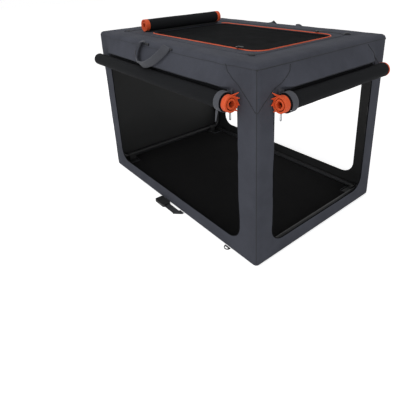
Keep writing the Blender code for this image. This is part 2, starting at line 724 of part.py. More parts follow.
def build_strap(webbing, plastic, pivot):
    """Webbing from under the floor, folded on the diagonal to lie along the side, with half a buckle."""
    inner_y = -WIDTH / 2 - STRAP_FROM_WALL
    outer_y = inner_y - STRAP_WIDTH
    root_x = STRAP_X - STRAP_WIDTH
    end_x = STRAP_X - STRAP_LENGTH
    root_y = -WIDTH / 2 + STRAP_TUCK
    root = [(root_x, outer_y), (STRAP_X, inner_y), (STRAP_X, root_y), (root_x, root_y)]
    finish(prism("strap_root", root, 0, STRAP_THICKNESS), webbing)
    folded = [(end_x, outer_y), (root_x, outer_y), (STRAP_X, inner_y), (end_x, inner_y)]
    low_z = STRAP_THICKNESS + GAP
    finish(prism("storage_strap", folded, low_z, low_z + STRAP_THICKNESS), webbing, pivot)

    middle = (inner_y + outer_y) / 2
    stop_x = end_x - GAP
    start_x = stop_x - BUCKLE_LENGTH
    half = BUCKLE_WIDTH / 2
    outline = rounded_rectangle((start_x, middle - half), (stop_x, middle + half), BUCKLE_ROUND)
    shell = prism("storage_buckle", outline, 0, BUCKLE_THICKNESS)
    inside_y = (middle - half + 2 * BUCKLE_WALL, middle + half - 2 * BUCKLE_WALL)
    inside_z = (BUCKLE_WALL, BUCKLE_THICKNESS - BUCKLE_WALL)
    mouth_x = (start_x - OVERRUN, start_x + BUCKLE_MOUTH_DEPTH)
    combine(shell, box("buckle_mouth", *box_corners(mouth_x, inside_y, inside_z)), "DIFFERENCE")
    window_x = start_x + BUCKLE_WINDOW_FROM_MOUTH
    windows_x = (window_x, window_x + BUCKLE_WINDOW_LENGTH)
    windows_y = (middle - half - OVERRUN, middle + half + OVERRUN)
    combine(shell, box("buckle_windows", *box_corners(windows_x, windows_y, inside_z)), "DIFFERENCE")
    finish(shell, plastic, pivot)


def loop_hinge():
    return (LOOP_X, -WIDTH / 2 + LOOP_TUCK - LOOP_WIRE / 2, LOOP_THICKNESS / 2)


def build_loop(plastic, pivot):
    """A small D of plastic that lies on the ground, its straight bar under the floor's rounded edge."""
    centre = (LOOP_X, -WIDTH / 2 + LOOP_TUCK - LOOP_WIRE / 2)
    bar_back = centre[1] + LOOP_WIRE / 2
    outer = [(LOOP_X + LOOP_RADIUS, bar_back), (LOOP_X - LOOP_RADIUS, bar_back)]
    outer += arc(centre, LOOP_RADIUS, 180, 360, 2 * CORNER_STEPS)
    loop = prism("tie_down_loop", outer, 0, LOOP_THICKNESS)
    inner = arc((LOOP_X, centre[1] - LOOP_WIRE / 2), LOOP_RADIUS - LOOP_WIRE, 180, 360, 2 * CORNER_STEPS)
    combine(loop, prism("loop_eye", inner, -OVERRUN, LOOP_THICKNESS + OVERRUN), "DIFFERENCE")
    finish(loop, plastic, pivot)


# Assembly

clear_scene()
CLOTH_GREY = principled("charcoal_canvas", (0.060, 0.063, 0.076), 0.85)
ROLL_BLACK = principled("rolled_door_cloth", (0.014, 0.015, 0.017), 0.90)
MESH_BLACK = principled("black_net", (0.010, 0.010, 0.010), 0.95)
FLEECE = principled("mat_fleece", (0.012, 0.012, 0.013), 0.95)
ORANGE = principled("orange_binding", (0.745, 0.115, 0.030), 0.60)
WEBBING = principled("grey_webbing", (0.052, 0.055, 0.066), 0.80)
STEEL = principled("coated_steel_tube", (0.028, 0.028, 0.030), 0.35, 0.6)
PLASTIC = principled("black_plastic", (0.010, 0.010, 0.011), 0.45)

LOWER_EMPTIES, UPPER_EMPTIES = {}, {}
for END, SIGN in ENDS:
    LOWER_EMPTIES[END] = joint_empty(f"lower_{END}_axis", (SIGN * PIVOT_X, 0, PIVOT_Z))
    UPPER_EMPTIES[END] = joint_empty(f"upper_{END}_axis", (SIGN * KNEE_X, 0, KNEE_Z), LOWER_EMPTIES[END])
    finish(end_frame(f"lower_end_frame_{END}", SIGN, 1), STEEL, LOWER_EMPTIES[END])
    finish(end_frame(f"upper_end_frame_{END}", SIGN, -1), STEEL, UPPER_EMPTIES[END])
ROOF = joint_empty("roof_axis", (-PIVOT_X, 0, HEIGHT - PIVOT_Z), UPPER_EMPTIES["closed"])

build_trays(CLOTH_GREY, MESH_BLACK, ROOF)
build_walls(CLOTH_GREY)
build_rails(STEEL, ROOF)
build_brackets(PLASTIC, ROOF)
build_knees(PLASTIC, LOWER_EMPTIES, UPPER_EMPTIES)
build_mat(FLEECE)

TAB_HINGE_Z = HEIGHT + 3 * GAP + ZIP_RADIUS + SLIDER_HEIGHT + TAB_THICKNESS / 2
TABS = {}
for SIDE, SIGN in SIDES:
    TAB_PLACE = (HATCH_HEAD_X - SLIDER_FROM_HEAD, SIGN * (HATCH_HALF_WIDTH + ZIP_SETBACK), TAB_HINGE_Z)
    TABS[SIDE] = joint_empty(f"hatch_tab_{SIDE}_axis", TAB_PLACE, ROOF)
build_hatch_zip(ORANGE, PLASTIC, ROOF, TABS)
build_hatch_roll(ROLL_BLACK, ORANGE, ROOF)

ROLL_START = -LENGTH / 2 + SIDE_ROLL_FROM_CLOSED_END
ROLL_STOP = LENGTH / 2 - SIDE_ROLL_FROM_OPEN_END
END_START = -WIDTH / 2 + END_ROLL_FROM_NEAR_SIDE
END_STOP = WIDTH / 2 - END_ROLL_FROM_FAR_SIDE
DOORS = (
    ("near_door", NEAR_FACE, ROLL_START, ROLL_STOP, 1),
    ("far_door", FAR_FACE, -ROLL_STOP, -ROLL_START, -1),
    ("end_door", OPEN_END_FACE, END_START, END_STOP, -1),
)
for NAME, FACE, START, STOP, BOUND_END in DOORS:
    build_door(NAME, FACE, START, STOP, ROLL_BLACK, ORANGE, WEBBING, ROOF, BOUND_END)
    MIDDLE = STOP - ROLL_END / 2 if BOUND_END > 0 else START + ROLL_END / 2
    PULL_AXIS = joint_empty(f"{NAME}_pull_axis", tuple(pull_hinge(FACE, MIDDLE)), ROOF)
    build_pull(f"{NAME}_pull", FACE, MIDDLE, STEEL, PULL_AXIS)

for SIDE, FACE in (("near", NEAR_FACE), ("far", FAR_FACE)):
    HANDLE_AXIS = joint_empty(f"handle_{SIDE}_axis", tuple(FACE @ HANDLE_HINGE), ROOF)
    build_handle(f"carry_handle_{SIDE}", FACE, WEBBING, HANDLE_AXIS)

build_strap(WEBBING, PLASTIC, joint_empty("storage_strap_axis", strap_hinge()))
build_loop(PLASTIC, joint_empty("tie_down_loop_axis", loop_hinge()))
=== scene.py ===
import math

import bpy
import numpy as np
from mathutils import Matrix, Vector, noise


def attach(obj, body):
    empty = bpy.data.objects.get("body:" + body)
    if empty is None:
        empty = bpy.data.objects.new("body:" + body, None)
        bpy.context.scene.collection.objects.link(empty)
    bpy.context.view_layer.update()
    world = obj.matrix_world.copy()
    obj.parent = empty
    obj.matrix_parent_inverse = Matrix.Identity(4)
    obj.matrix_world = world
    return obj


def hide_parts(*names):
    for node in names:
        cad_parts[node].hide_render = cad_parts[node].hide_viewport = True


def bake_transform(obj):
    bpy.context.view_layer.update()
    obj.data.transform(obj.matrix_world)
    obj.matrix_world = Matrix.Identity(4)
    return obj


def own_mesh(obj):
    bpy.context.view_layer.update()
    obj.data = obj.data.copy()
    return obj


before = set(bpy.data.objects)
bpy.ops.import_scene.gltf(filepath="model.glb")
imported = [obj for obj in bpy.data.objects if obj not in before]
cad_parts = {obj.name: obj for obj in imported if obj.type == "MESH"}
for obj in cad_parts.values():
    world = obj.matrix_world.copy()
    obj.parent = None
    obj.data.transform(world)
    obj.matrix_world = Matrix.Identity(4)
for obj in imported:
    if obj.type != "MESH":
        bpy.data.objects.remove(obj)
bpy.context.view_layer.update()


# The camera stands at eye height in front of the crate's open corner, looking down at it
# over the near bottom corner. Its lens and shift are those that bring the crate's seven
# seen corners onto the photograph. All lengths here and below are in metres.
CAMERA_PLACE = (1.0891, -0.9403, 0.8241)
CAMERA_YAW, CAMERA_PITCH, CAMERA_ROLL = (math.radians(a) for a in (141.538, -21.272, -2.243))
FRAME_PIXELS, LENS_PIXELS, CENTRE_PIXEL, SENSOR = 400, 381.37, (215, 120), 36.0

eye = bpy.data.cameras.new("eye")
eye.sensor_width = SENSOR
eye.lens = SENSOR * LENS_PIXELS / FRAME_PIXELS
eye.shift_x = (FRAME_PIXELS / 2 - CENTRE_PIXEL[0]) / FRAME_PIXELS
eye.shift_y = (CENTRE_PIXEL[1] - FRAME_PIXELS / 2) / FRAME_PIXELS
camera = bpy.data.objects.new("camera", eye)
forward = Vector((math.cos(CAMERA_YAW) * math.cos(CAMERA_PITCH),
                  math.sin(CAMERA_YAW) * math.cos(CAMERA_PITCH), math.sin(CAMERA_PITCH)))
sideways = Vector((math.sin(CAMERA_YAW), -math.cos(CAMERA_YAW), 0))
upward = sideways.cross(forward)
across = math.cos(CAMERA_ROLL) * sideways + math.sin(CAMERA_ROLL) * upward
above = math.cos(CAMERA_ROLL) * upward - math.sin(CAMERA_ROLL) * sideways
camera_turn = Matrix((across, above, -forward)).transposed().to_4x4()
camera.matrix_world = Matrix.Translation(CAMERA_PLACE) @ camera_turn
bpy.context.collection.objects.link(camera)
bpy.context.scene.camera = camera


# The studio: a white sweep of paper under the crate and three soft boxes, the largest
# above. The paper is lifted to white for the eye alone, so the crate is lit at a plain
# level and its shadow stays on the floor.
PAPER_SIZE, PAPER_LEVEL, PAPER_LIFT = 24.0, -0.0006, 0.70
WALL_LIGHT = 0.33
LAMP_AIM = Vector((0, 0, 0.3))


def tone(code, share=1.0):
    """An sRGB hex colour as linear light, with alpha; share darkens or lightens it."""
    parts = [int(code[i:i + 2], 16) / 255 for i in (0, 2, 4)]
    linear = [c / 12.92 if c <= 0.04045 else ((c + 0.055) / 1.055) ** 2.4 for c in parts]
    return (*(c * share for c in linear), 1.0)


def node(tree, kind, settings=None, **links):
    """Adds a node, sets its options and sockets, and links sockets named in links (_ for a space)."""
    made = tree.nodes.new("ShaderNode" + kind)
    for key, value in (settings or {}).items():
        if isinstance(key, str) and hasattr(made, key):
            setattr(made, key, value)
        else:
            made.inputs[key].default_value = value
    for key, output in links.items():
        name = key.replace("_", " ")
        tree.links.new(output, made.inputs[int(key[1:]) if key[1:].isdigit() else name])
    return made


def surface(name, **levels):
    """A new material, with levels set on its shader (_ for a space): the material and its tree."""
    material = bpy.data.materials.new(name)
    material.use_nodes = True
    tree = material.node_tree
    for key, level in levels.items():
        tree.nodes["Principled BSDF"].inputs[key.replace("_", " ")].default_value = level
    return material, tree


def feed(tree, output, socket):
    """Links an output to a socket of the material's shader."""
    tree.links.new(output, tree.nodes["Principled BSDF"].inputs[socket])


def pattern(tree, kind, space="Object", turn=None, **settings):
    """A texture's height, in the piece's own space or along its UV map, turned where asked."""
    place = node(tree, "TexCoord" if space == "Object" else "UVMap").outputs[space]
    if turn:
        place = node(tree, "Mapping", {"Rotation": turn}, Vector=place).outputs[0]
    made = node(tree, "Tex" + kind, settings, Vector=place)
    return made.outputs["Distance" if kind == "Voronoi" else "Fac"]


def dyed(tree, by, dark, light):
    """Colours a material from a dark tone to a light one, by a height."""
    ramp = node(tree, "ValToRGB", Fac=by)
    for stop, colour in zip(ramp.color_ramp.elements, (dark, light)):
        stop.color = colour
    feed(tree, ramp.outputs["Color"], "Base Color")
    return ramp.color_ramp


def seen(tree):
    """1 for what the eye sees directly, in a shine or through something clear, and else 0."""
    path = node(tree, "LightPath")
    made = path.outputs["Is Camera Ray"]
    for ray in ("Is Glossy Ray", "Is Transmission Ray"):
        made = node(tree, "Math", {"operation": "MAXIMUM"}, i0=made, i1=path.outputs[ray]).outputs[0]
    return made


def alone(piece=None):
    """Leaves only this piece selected and active."""
    if bpy.context.object and bpy.context.object.mode != "OBJECT":
        bpy.ops.object.mode_set(mode="OBJECT")
    bpy.ops.object.select_all(action="DESELECT")
    if piece:
        piece.select_set(True)
        bpy.context.view_layer.objects.active = piece


def named(name):
    """The piece that a tool has just made, under its own name."""
    piece = bpy.context.object
    piece.name = name
    piece.data.name = name
    return piece


alone()
bpy.ops.mesh.primitive_plane_add(size=PAPER_SIZE, location=(0, 0, PAPER_LEVEL))
paper_floor = named("paper_floor")
bpy.ops.object.transform_apply(location=True)
# White seamless paper: matt, with a faint uneven tone from its rolling.
paper, tree = surface("white_seamless_paper", Roughness=0.9, Emission_Color=(1, 1, 1, 1))
dyed(tree, pattern(tree, "Noise", Scale=0.8, Detail=2.0), tone("F1F1F1"), tone("F6F6F6"))
lift = node(tree, "Math", {"operation": "MULTIPLY", 1: PAPER_LIFT}, i0=seen(tree))
feed(tree, lift.outputs[0], "Emission Strength")
paper_floor.data.materials.append(paper)

SOFT_BOXES = (
    ("overhead_box", (-0.2, -0.8, 2.6), 2.6, 17),
    ("left_box", (0.1, -2.6, 1.4), 1.8, 20),
    ("right_box", (2.6, -0.9, 1.2), 1.6, 17),
)
for name, spot, width, power in SOFT_BOXES:
    light = bpy.data.lights.new(name, "AREA")
    light.size = width
    light.energy = power
    soft_box = bpy.data.objects.new(name, light)
    soft_box.location = spot
    soft_box.rotation_euler = (LAMP_AIM - Vector(spot)).to_track_quat("-Z", "Y").to_euler()
    bpy.context.collection.objects.link(soft_box)
world = bpy.data.worlds.new("studio_walls")
world.use_nodes = True
walls_light = world.node_tree.nodes["Background"]
walls_light.inputs["Color"].default_value = (1, 1, 1, 1)
strength = node(world.node_tree, "MapRange", {"To Min": WALL_LIGHT, "To Max": 1.0},
                Value=seen(world.node_tree))
world.node_tree.links.new(strength.outputs[0], walls_light.inputs["Strength"])
bpy.context.scene.world = world
bpy.context.scene.view_settings.view_transform = "Standard"


# The folding frame: steel tubes bent into a U at each end, with rails along the floor and
# the roof. The tubes are powder coated; the corner brackets with their snap clips and the
# forks and tongues of the knees are moulded nylon. The solids are right as they are.
COAT = "1C1D1F"
NYLON = "111213"


def dress(names, material):
    """Gives the frame's own solids a better finish."""
    for name in names:
        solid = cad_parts[name]
        solid.data.materials.clear()
        solid.data.materials.append(material)


def emboss(tree, by, strength, distance):
    """Raises a material's surface by a height."""
    bump = node(tree, "Bump", {"Strength": strength, "Distance": distance}, Height=by)
    feed(tree, bump.outputs["Normal"], "Normal")


# Powder coat on steel: a satin grey-black skin with a fine orange peel.
powder_coat, tree = surface("powder_coated_steel", Roughness=0.5)
dyed(tree, pattern(tree, "Noise", Scale=14.0, Detail=4.0), tone(COAT, 0.85), tone(COAT, 1.2))
emboss(tree, pattern(tree, "Noise", Scale=900.0, Detail=1.0), 0.25, 0.0003)

# Moulded glass-filled nylon: matt black with a fine spark-eroded grain.
nylon, tree = surface("moulded_nylon")
flow = pattern(tree, "Noise", Scale=30.0, Detail=3.0)
dyed(tree, flow, tone(NYLON, 0.8), tone(NYLON, 1.3))
feed(tree, node(tree, "MapRange", {"To Min": 0.5, "To Max": 0.68}, Value=flow).outputs[0], "Roughness")
emboss(tree, pattern(tree, "Noise", Scale=1600.0, Detail=2.0), 0.3, 0.0002)

SIDES = (("near", -1), ("far", 1))
ENDS = (("open", 1), ("closed", -1))
CORNERS = [(f"{side}_{end}", sy, sx) for side, sy in SIDES for end, sx in ENDS]
tubes = [f"{half}_end_frame_{end}" for half in ("lower", "upper") for end, _ in ENDS]
tubes += [f"{edge}_rail_{side}" for edge in ("floor", "roof") for side, _ in SIDES]
moulded = [f"{part}_{corner}" for part in ("floor_bracket", "roof_bracket", "knee_fork", "knee_tongue")
           for corner, _, _ in CORNERS]
dress(tubes, powder_coat)
dress(moulded, nylon)


# The canvas: one sewn case of heavy polyester, charcoal with a blue cast, lined in black.
# It is stretched over the frame with a little slack, and three doorways and the roof
# hatch are cut out of it. Above each doorway it hangs out over the rolled door.
LENGTH, WIDTH, HEIGHT = 0.914, 0.610, 0.610
CLOTH = 0.003
CORNER_RADIUS, EDGE_ROUND = 0.015, 0.011
RIM_WIDTH, RIM_PUFF = 0.077, 0.003
CELL, ON_EDGE, ON_FACE = 0.016, 1e-4, 1e-3
FLOOR_SPLIT, ROOF_SPLIT = 0.0553, 0.5347
DOOR_BOTTOM, DOOR_TOP, DOOR_RADIUS = 0.055, 0.535, 0.050
SIDE_HALF, END_HALF = 0.385, 0.239
HATCH_LOW, HATCH_HIGH, HATCH_RADIUS = (-0.250, -0.185), (0.340, 0.185), 0.045
SKIRT_FLARE, SKIRT_DROOP, FADE = 0.028, 0.0045, 0.05
SLACK, FINE_SLACK, ROOF_SLACK, ROOF_FINE_SLACK = 0.0020, 0.0009, 0.0006, 0.0003
THROUGH, BEYOND, INNER_END = 0.06, 1.0, 0.31
PAST_FILLET, WALL_LAP, POST_ROUND = 0.003, 0.009, 0.005
SMOOTH_ANGLE = math.radians(35)
CANVAS = "45474F"
LINING = "0F1011"


def points_of(piece):
    """The places of a piece's points, as an array."""
    points = np.empty(len(piece.data.vertices) * 3)
    piece.data.vertices.foreach_get("co", points)
    return points.reshape(-1, 3)


def pick_edges(piece, wanted):
    """Selects in edit mode the edges whose middles are wanted."""
    alone(piece)
    mesh = piece.data
    for parts in (mesh.vertices, mesh.edges, mesh.polygons):
        parts.foreach_set("select", np.zeros(len(parts), bool))
    ends = np.empty(len(mesh.edges) * 2, int)
    mesh.edges.foreach_get("vertices", ends)
    middles = points_of(piece)[ends.reshape(-1, 2)].mean(1)
    mesh.edges.foreach_set("select", np.asarray(wanted(*middles.T), bool))
    bpy.context.tool_settings.mesh_select_mode = (False, True, False)
    bpy.ops.object.mode_set(mode="EDIT")


def use(piece, kind, **settings):
    """Adds a modifier and applies it."""
    alone(piece)
    modifier = piece.modifiers.new(kind.lower(), kind)
    for key, value in settings.items():
        setattr(modifier, key, value)
    bpy.ops.object.modifier_apply(modifier=modifier.name)


def sculpt(piece, move):
    """Moves the piece's points: move takes an array of points and returns the new one."""
    alone(piece)
    piece.data.vertices.foreach_set("co", np.asarray(move(points_of(piece))).ravel())
    piece.data.update()


def waves(points, size, seed=0.0):
    """A smooth random height, from -1 to 1, at each point."""
    return np.array([noise.noise(Vector(p) / size + Vector((seed, -seed, seed))) for p in points])


def ease(value, low, high):
    """From 0 at low to 1 at high, smoothly."""
    share = np.clip((value - low) / (high - low), 0, 1)
    return share * share * (3 - 2 * share)


def block(name, low, high):
    """A plain box between two opposite corners."""
    alone()
    bpy.ops.mesh.primitive_cube_add(size=1, location=[(a + b) / 2 for a, b in zip(low, high)],
                                    scale=[b - a for a, b in zip(low, high)])
    bpy.ops.object.transform_apply(location=True, scale=True)
    return named(name)


def cut(piece, low, high, along, radius):
    """Cuts a straight opening with four rounded edges through a piece, along an axis."""
    tool = block("opening", low, high)
    others = [i for i in range(3) if i != along]

    def corner_edges(*middles):
        near = [np.minimum(abs(middles[i] - low[i]), abs(middles[i] - high[i])) < 1e-5 for i in others]
        return near[0] & near[1]
    pick_edges(tool, corner_edges)
    bpy.ops.mesh.bevel(offset=radius, segments=10, affect="EDGES")
    use(piece, "BOOLEAN", operation="DIFFERENCE", solver="EXACT", object=tool)
    bpy.data.objects.remove(tool)


def corner_box(sx, sy, x, y, low, high):
    """Two opposite corners of a box that fills one corner of the case from (x, y) outwards."""
    xs, ys = sorted((sx * x, sx * BEYOND)), sorted((sy * y, sy * BEYOND))
    return (xs[0], ys[0], low), (xs[1], ys[1], high)


# Coated polyester canvas: matt, with a plain weave and a faint cloudiness in the dye.
canvas, tree = surface("polyester_canvas", Roughness=0.85, Specular_IOR_Level=0.13)
weave = [pattern(tree, "Wave", turn=turn, Scale=200.0, Distortion=0.6, Detail=1.0)
         for turn in ((0, 0, 0), (0, 0, math.pi / 2), (0, math.pi / 2, 0))]
threads = weave[0]
for band in weave[1:]:
    threads = node(tree, "Math", {"operation": "ADD"}, i0=threads, i1=band).outputs[0]
cloud = pattern(tree, "Noise", Scale=7.0, Detail=5.0, Roughness=0.6)
fleck = pattern(tree, "Noise", Scale=420.0, Detail=2.0)
mottle = node(tree, "Math", {"operation": "MULTIPLY_ADD", 1: 0.18}, i0=fleck, i2=cloud)
ramp = dyed(tree, mottle.outputs[0], tone(CANVAS, 0.76), tone(CANVAS, 1.22))
ramp.elements[0].position, ramp.elements[1].position = 0.35, 0.85
emboss(tree, threads, 0.2, 0.0004)

# Black taffeta lining: thin, smooth, a little glossier than the canvas. Its colour follows its crush:
# lighter on the creases' ridges, with painted shade in their hollows.
lining, tree = surface("taffeta_lining", Roughness=0.62)
crush = pattern(tree, "Noise", Scale=24.0, Detail=5.0, Roughness=0.65)
dyed(tree, crush, tone(LINING, 0.7), tone(LINING, 1.5))
emboss(tree, crush, 0.35, 0.002)

case = block("canvas_case", (-LENGTH / 2, -WIDTH / 2, 0), (LENGTH / 2, WIDTH / 2, HEIGHT))
pick_edges(case, lambda x, y, z: (abs(x) > LENGTH / 2 - ON_EDGE) & (abs(y) > WIDTH / 2 - ON_EDGE))
bpy.ops.mesh.bevel(offset=CORNER_RADIUS, segments=5, affect="EDGES")
pick_edges(case, lambda x, y, z: (z < ON_EDGE) | (z > HEIGHT - ON_EDGE))
bpy.ops.mesh.bevel(offset=EDGE_ROUND, segments=4, affect="EDGES")
for axis, half in enumerate((LENGTH / 2, WIDTH / 2, HEIGHT / 2)):
    for step in range(1, int(half / CELL)):
        for sign in (-1, 1):
            where = [0, 0, HEIGHT / 2]
            where[axis] += sign * step * CELL
            bpy.ops.mesh.select_all(action="SELECT")
            bpy.ops.mesh.bisect(plane_co=where, plane_no=[float(i == axis) for i in range(3)])


def slack(points):
    """The case's slack: the roof's rim puffs, the faces waver, and the skirts lean out over the rolls."""
    x, y, z = points.T
    made = points.copy()
    flat = ease(LENGTH / 2 - abs(x), 0, FADE) * ease(WIDTH / 2 - abs(y), 0, FADE)
    side = abs(y) > WIDTH / 2 - ON_FACE
    end = abs(x) > LENGTH / 2 - ON_FACE
    roof = z > HEIGHT - ON_EDGE
    wander = waves(points, 0.11)
    fine = waves(points, 0.035, 7.0)
    drop = np.clip((HEIGHT - EDGE_ROUND - z) / (HEIGHT - EDGE_ROUND - DOOR_TOP), 0, 1) ** 1.2
    ripple = 1 + 0.2 * waves(points, 0.16, 3.0) + 0.1 * waves(points, 0.05, 11.0)
    skirt_part = z > DOOR_TOP - 0.004
    near_doorway = ease(SIDE_HALF - abs(x), 0, FADE) * skirt_part
    made[:, 1] += np.sign(y) * side * SKIRT_FLARE * drop * near_doorway * ripple
    end_doorway = ease(END_HALF - abs(y), 0, FADE) * skirt_part
    made[:, 0] += (x > 0) * end * SKIRT_FLARE * drop * end_doorway * ripple
    hold = ease(z, 0, 0.03) * ease(HEIGHT - z, 0, 0.02)
    made[:, 1] += np.sign(y) * side * (SLACK * wander + FINE_SLACK * fine) * hold
    made[:, 0] += np.sign(x) * end * (SLACK * wander + FINE_SLACK * fine) * hold
    made[:, 2] += roof * (ROOF_SLACK * wander + ROOF_FINE_SLACK * fine - ROOF_SLACK) * flat
    rim = np.clip(np.minimum(LENGTH / 2 - abs(x), WIDTH / 2 - abs(y)) / RIM_WIDTH, 0, 1)
    made[:, 2] += roof * RIM_PUFF * np.sin(math.pi * rim) * (1 + 0.5 * fine)
    return made


sculpt(case, slack)
case.data.materials.append(canvas)
case.data.materials.append(lining)
use(case, "SOLIDIFY", thickness=CLOTH, offset=-1, material_offset=1, use_even_offset=True)
cut(case, (-SIDE_HALF, -WIDTH / 2 - THROUGH, DOOR_BOTTOM),
    (SIDE_HALF, WIDTH / 2 + THROUGH, DOOR_TOP), 1, DOOR_RADIUS)
cut(case, (LENGTH / 2 - THROUGH, -END_HALF, DOOR_BOTTOM),
    (LENGTH / 2 + THROUGH, END_HALF, DOOR_TOP), 0, DOOR_RADIUS)
cut(case, (*HATCH_LOW, HEIGHT - THROUGH), (*HATCH_HIGH, HEIGHT + THROUGH), 2, HATCH_RADIUS)


def part_off(piece, name, low, high):
    """The part of a piece inside a box, as a closed piece of its own."""
    alone(piece)
    bpy.ops.object.duplicate()
    made = named(name)
    box = block("box", low, high)
    use(made, "BOOLEAN", operation="INTERSECT", solver="EXACT", object=box)
    bpy.data.objects.remove(box)
    return made


def settle(piece, body, slot, *nodes, material=None, face=None):
    """Finishes a piece: it is laid on its face of the case, smoothed, and rides on its body."""
    if face is not None:
        piece.data.transform(face)
    alone(piece)
    bpy.ops.object.shade_smooth_by_angle(angle=SMOOTH_ANGLE)
    if material:
        piece.data.materials.clear()
        piece.data.materials.append(material)
    if body:
        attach(piece, body)
    if nodes:
        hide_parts(*nodes)
    return piece


def crumple(piece):
    """Gives the wall cloth a mesh of its own."""
    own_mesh(piece)


floor_case = part_off(case, "floor_case", (-BEYOND, -BEYOND, -BEYOND), (BEYOND, BEYOND, FLOOR_SPLIT))
roof_case = part_off(case, "roof_case", (-BEYOND, -BEYOND, ROOF_SPLIT), (BEYOND, BEYOND, BEYOND))


def droop(points):
    """The skirts hang down over the rolls by a little more than the doorways' height."""
    x, y, z = points.T
    out = np.maximum(abs(y) - WIDTH / 2, x - LENGTH / 2)
    made = points.copy()
    made[:, 2] -= SKIRT_DROOP * ease(z, DOOR_TOP + 0.03, DOOR_TOP) * ease(out, 0.002, 0.014)
    return made


sculpt(roof_case, droop)
settle(floor_case, "base", "canvas", "floor_cloth")
settle(roof_case, "roof", "canvas", "roof_cloth")
for corner, sy, sx in CORNERS:
    reach = END_HALF - (DOOR_RADIUS + PAST_FILLET if sx > 0 else WALL_LAP)
    post = part_off(case, f"corner_post_{corner}",
                    *corner_box(sx, sy, INNER_END, reach, FLOOR_SPLIT, ROOF_SPLIT))
    settle(post, "base", "canvas", f"corner_sleeve_{corner}")
    crumple(post)
reach = END_HALF - WALL_LAP
closed_wall = part_off(case, "closed_end_wall", (-BEYOND, -reach, FLOOR_SPLIT),
                       (-INNER_END, reach, ROOF_SPLIT))
bpy.data.objects.remove(case)
settle(closed_wall, "base", "canvas", "closed_end_panel")
crumple(closed_wall)


# The mat: a foam pad in black fleece that lies on the floor between the rails, with
# its corners cut out round the frame's brackets and a dark grey piping round its rim.
MAT_HALF = (0.452, 0.2805)
MAT_LOW, MAT_HIGH, MAT_TRIM = 0.0036, 0.0150, 0.0025
MAT_NOTCH, NOTCH_ROUND = (0.388, 0.2245), 0.008
MAT_VOXEL = 0.0055
MAT_SWELL, FILL_PRESSURE, SWELL_STEPS = 0.0022, 4, 12
MAT_TOP_FROM, MAT_WAVE = 0.01, 0.0012
PIPING_RADIUS, PIPING_INSET, PIPING_LIFT = 0.0016, 0.002, 0.0012
FLEECE, PIPING = "0D0D0E", "2E2F33"


def bead(name, places, radius, closed=False, sides=2):
    """A thin cord or welt along a line of places, made as a round-section curve."""
    alone()
    line = bpy.data.curves.new(name, "CURVE")
    line.dimensions = "3D"
    line.bevel_depth = radius
    line.bevel_resolution = sides
    line.use_fill_caps = True
    spline = line.splines.new("POLY")
    spline.points.add(len(places) - 1)
    spline.points.foreach_set("co", np.hstack([np.asarray(places), np.ones((len(places), 1))]).ravel())
    spline.use_cyclic_u = closed
    piece = bpy.data.objects.new(name, line)
    bpy.context.collection.objects.link(piece)
    alone(piece)
    bpy.ops.object.convert(target="MESH")
    return named(name)


def rounded(low, high, radius, steps=8, height=0.0):
    """The places round a rectangle with rounded corners, at one height."""
    places = []
    left, foot, right, head = low[0] + radius, low[1] + radius, high[0] - radius, high[1] - radius
    for quarter, (cx, cy) in enumerate(((right, head), (left, head), (left, foot), (right, foot))):
        for step in range(steps + 1):
            turn = math.radians(90 * quarter + 90 * step / steps)
            places.append((cx + radius * math.cos(turn), cy + radius * math.sin(turn), height))
    return places


def denser(places, spacing, closed=False):
    """More places along a line, about this far apart."""
    made = []
    following = places[1:] + (places[:1] if closed else [])
    for a, b in zip(places, following):
        a, b = np.array(a), np.array(b)
        count = max(1, int(np.linalg.norm(b - a) / spacing))
        made += [tuple(a + (b - a) * i / count) for i in range(count)]
    return made if closed else made + [places[-1]]


# Short fleece: black, very matt, with a soft pile that catches a little light at its edge.
fleece, tree = surface("short_pile_fleece", Roughness=0.95, Sheen_Weight=0.02, Specular_IOR_Level=0.1)
dyed(tree, pattern(tree, "Noise", Scale=18.0, Detail=4.0), tone(FLEECE, 0.75), tone(FLEECE, 1.5))
emboss(tree, pattern(tree, "Noise", Scale=520.0, Detail=3.0), 0.6, 0.0012)

# Cotton piping cord: dark grey, with the twist showing as fine slanting ribs, lighter on top with painted
# shade between them.
piping, tree = surface("cotton_piping", Roughness=0.8)
twist = pattern(tree, "Wave", turn=(0.6, 0.6, 0.8), Scale=180.0, Distortion=1.0)
dyed(tree, twist, tone(PIPING, 0.8), tone(PIPING, 1.1))
emboss(tree, twist, 0.4, 0.0004)

pad_x, pad_y = (half - MAT_TRIM for half in MAT_HALF)
mat = block("fleece_mat", (-pad_x, -pad_y, MAT_LOW), (pad_x, pad_y, MAT_HIGH))
for corner, sy, sx in CORNERS:
    cut(mat, *corner_box(sx, sy, *MAT_NOTCH, -BEYOND, BEYOND), 2, NOTCH_ROUND)
use(mat, "REMESH", mode="VOXEL", voxel_size=MAT_VOXEL)
start = points_of(mat)
alone(mat)
filling = mat.modifiers.new("filling", "CLOTH")
filling.settings.use_pressure = True
filling.settings.uniform_pressure_force = FILL_PRESSURE
filling.settings.effector_weights.gravity = 0
filling.settings.quality = 3
for moment in range(1, SWELL_STEPS + 1):
    bpy.context.scene.frame_set(moment)
bpy.ops.object.modifier_apply(modifier=filling.name)
bpy.context.scene.frame_set(1)

def capped(points):
    """The swollen pad, with no point more than the foam's give away from its start."""
    step = points - start
    length = np.linalg.norm(step, axis=1, keepdims=True)
    made = start + step * np.minimum(1, MAT_SWELL / np.maximum(length, 1e-9))
    made[:, 2] = np.maximum(made[:, 2], MAT_LOW)
    return made
sculpt(mat, capped)


def rumpled(points):
    """The pad, with its upper side a little uneven."""
    made = points.copy()
    made[:, 2] += (points[:, 2] > MAT_TOP_FROM) * MAT_WAVE * waves(points, 0.13, 5.0)
    return made


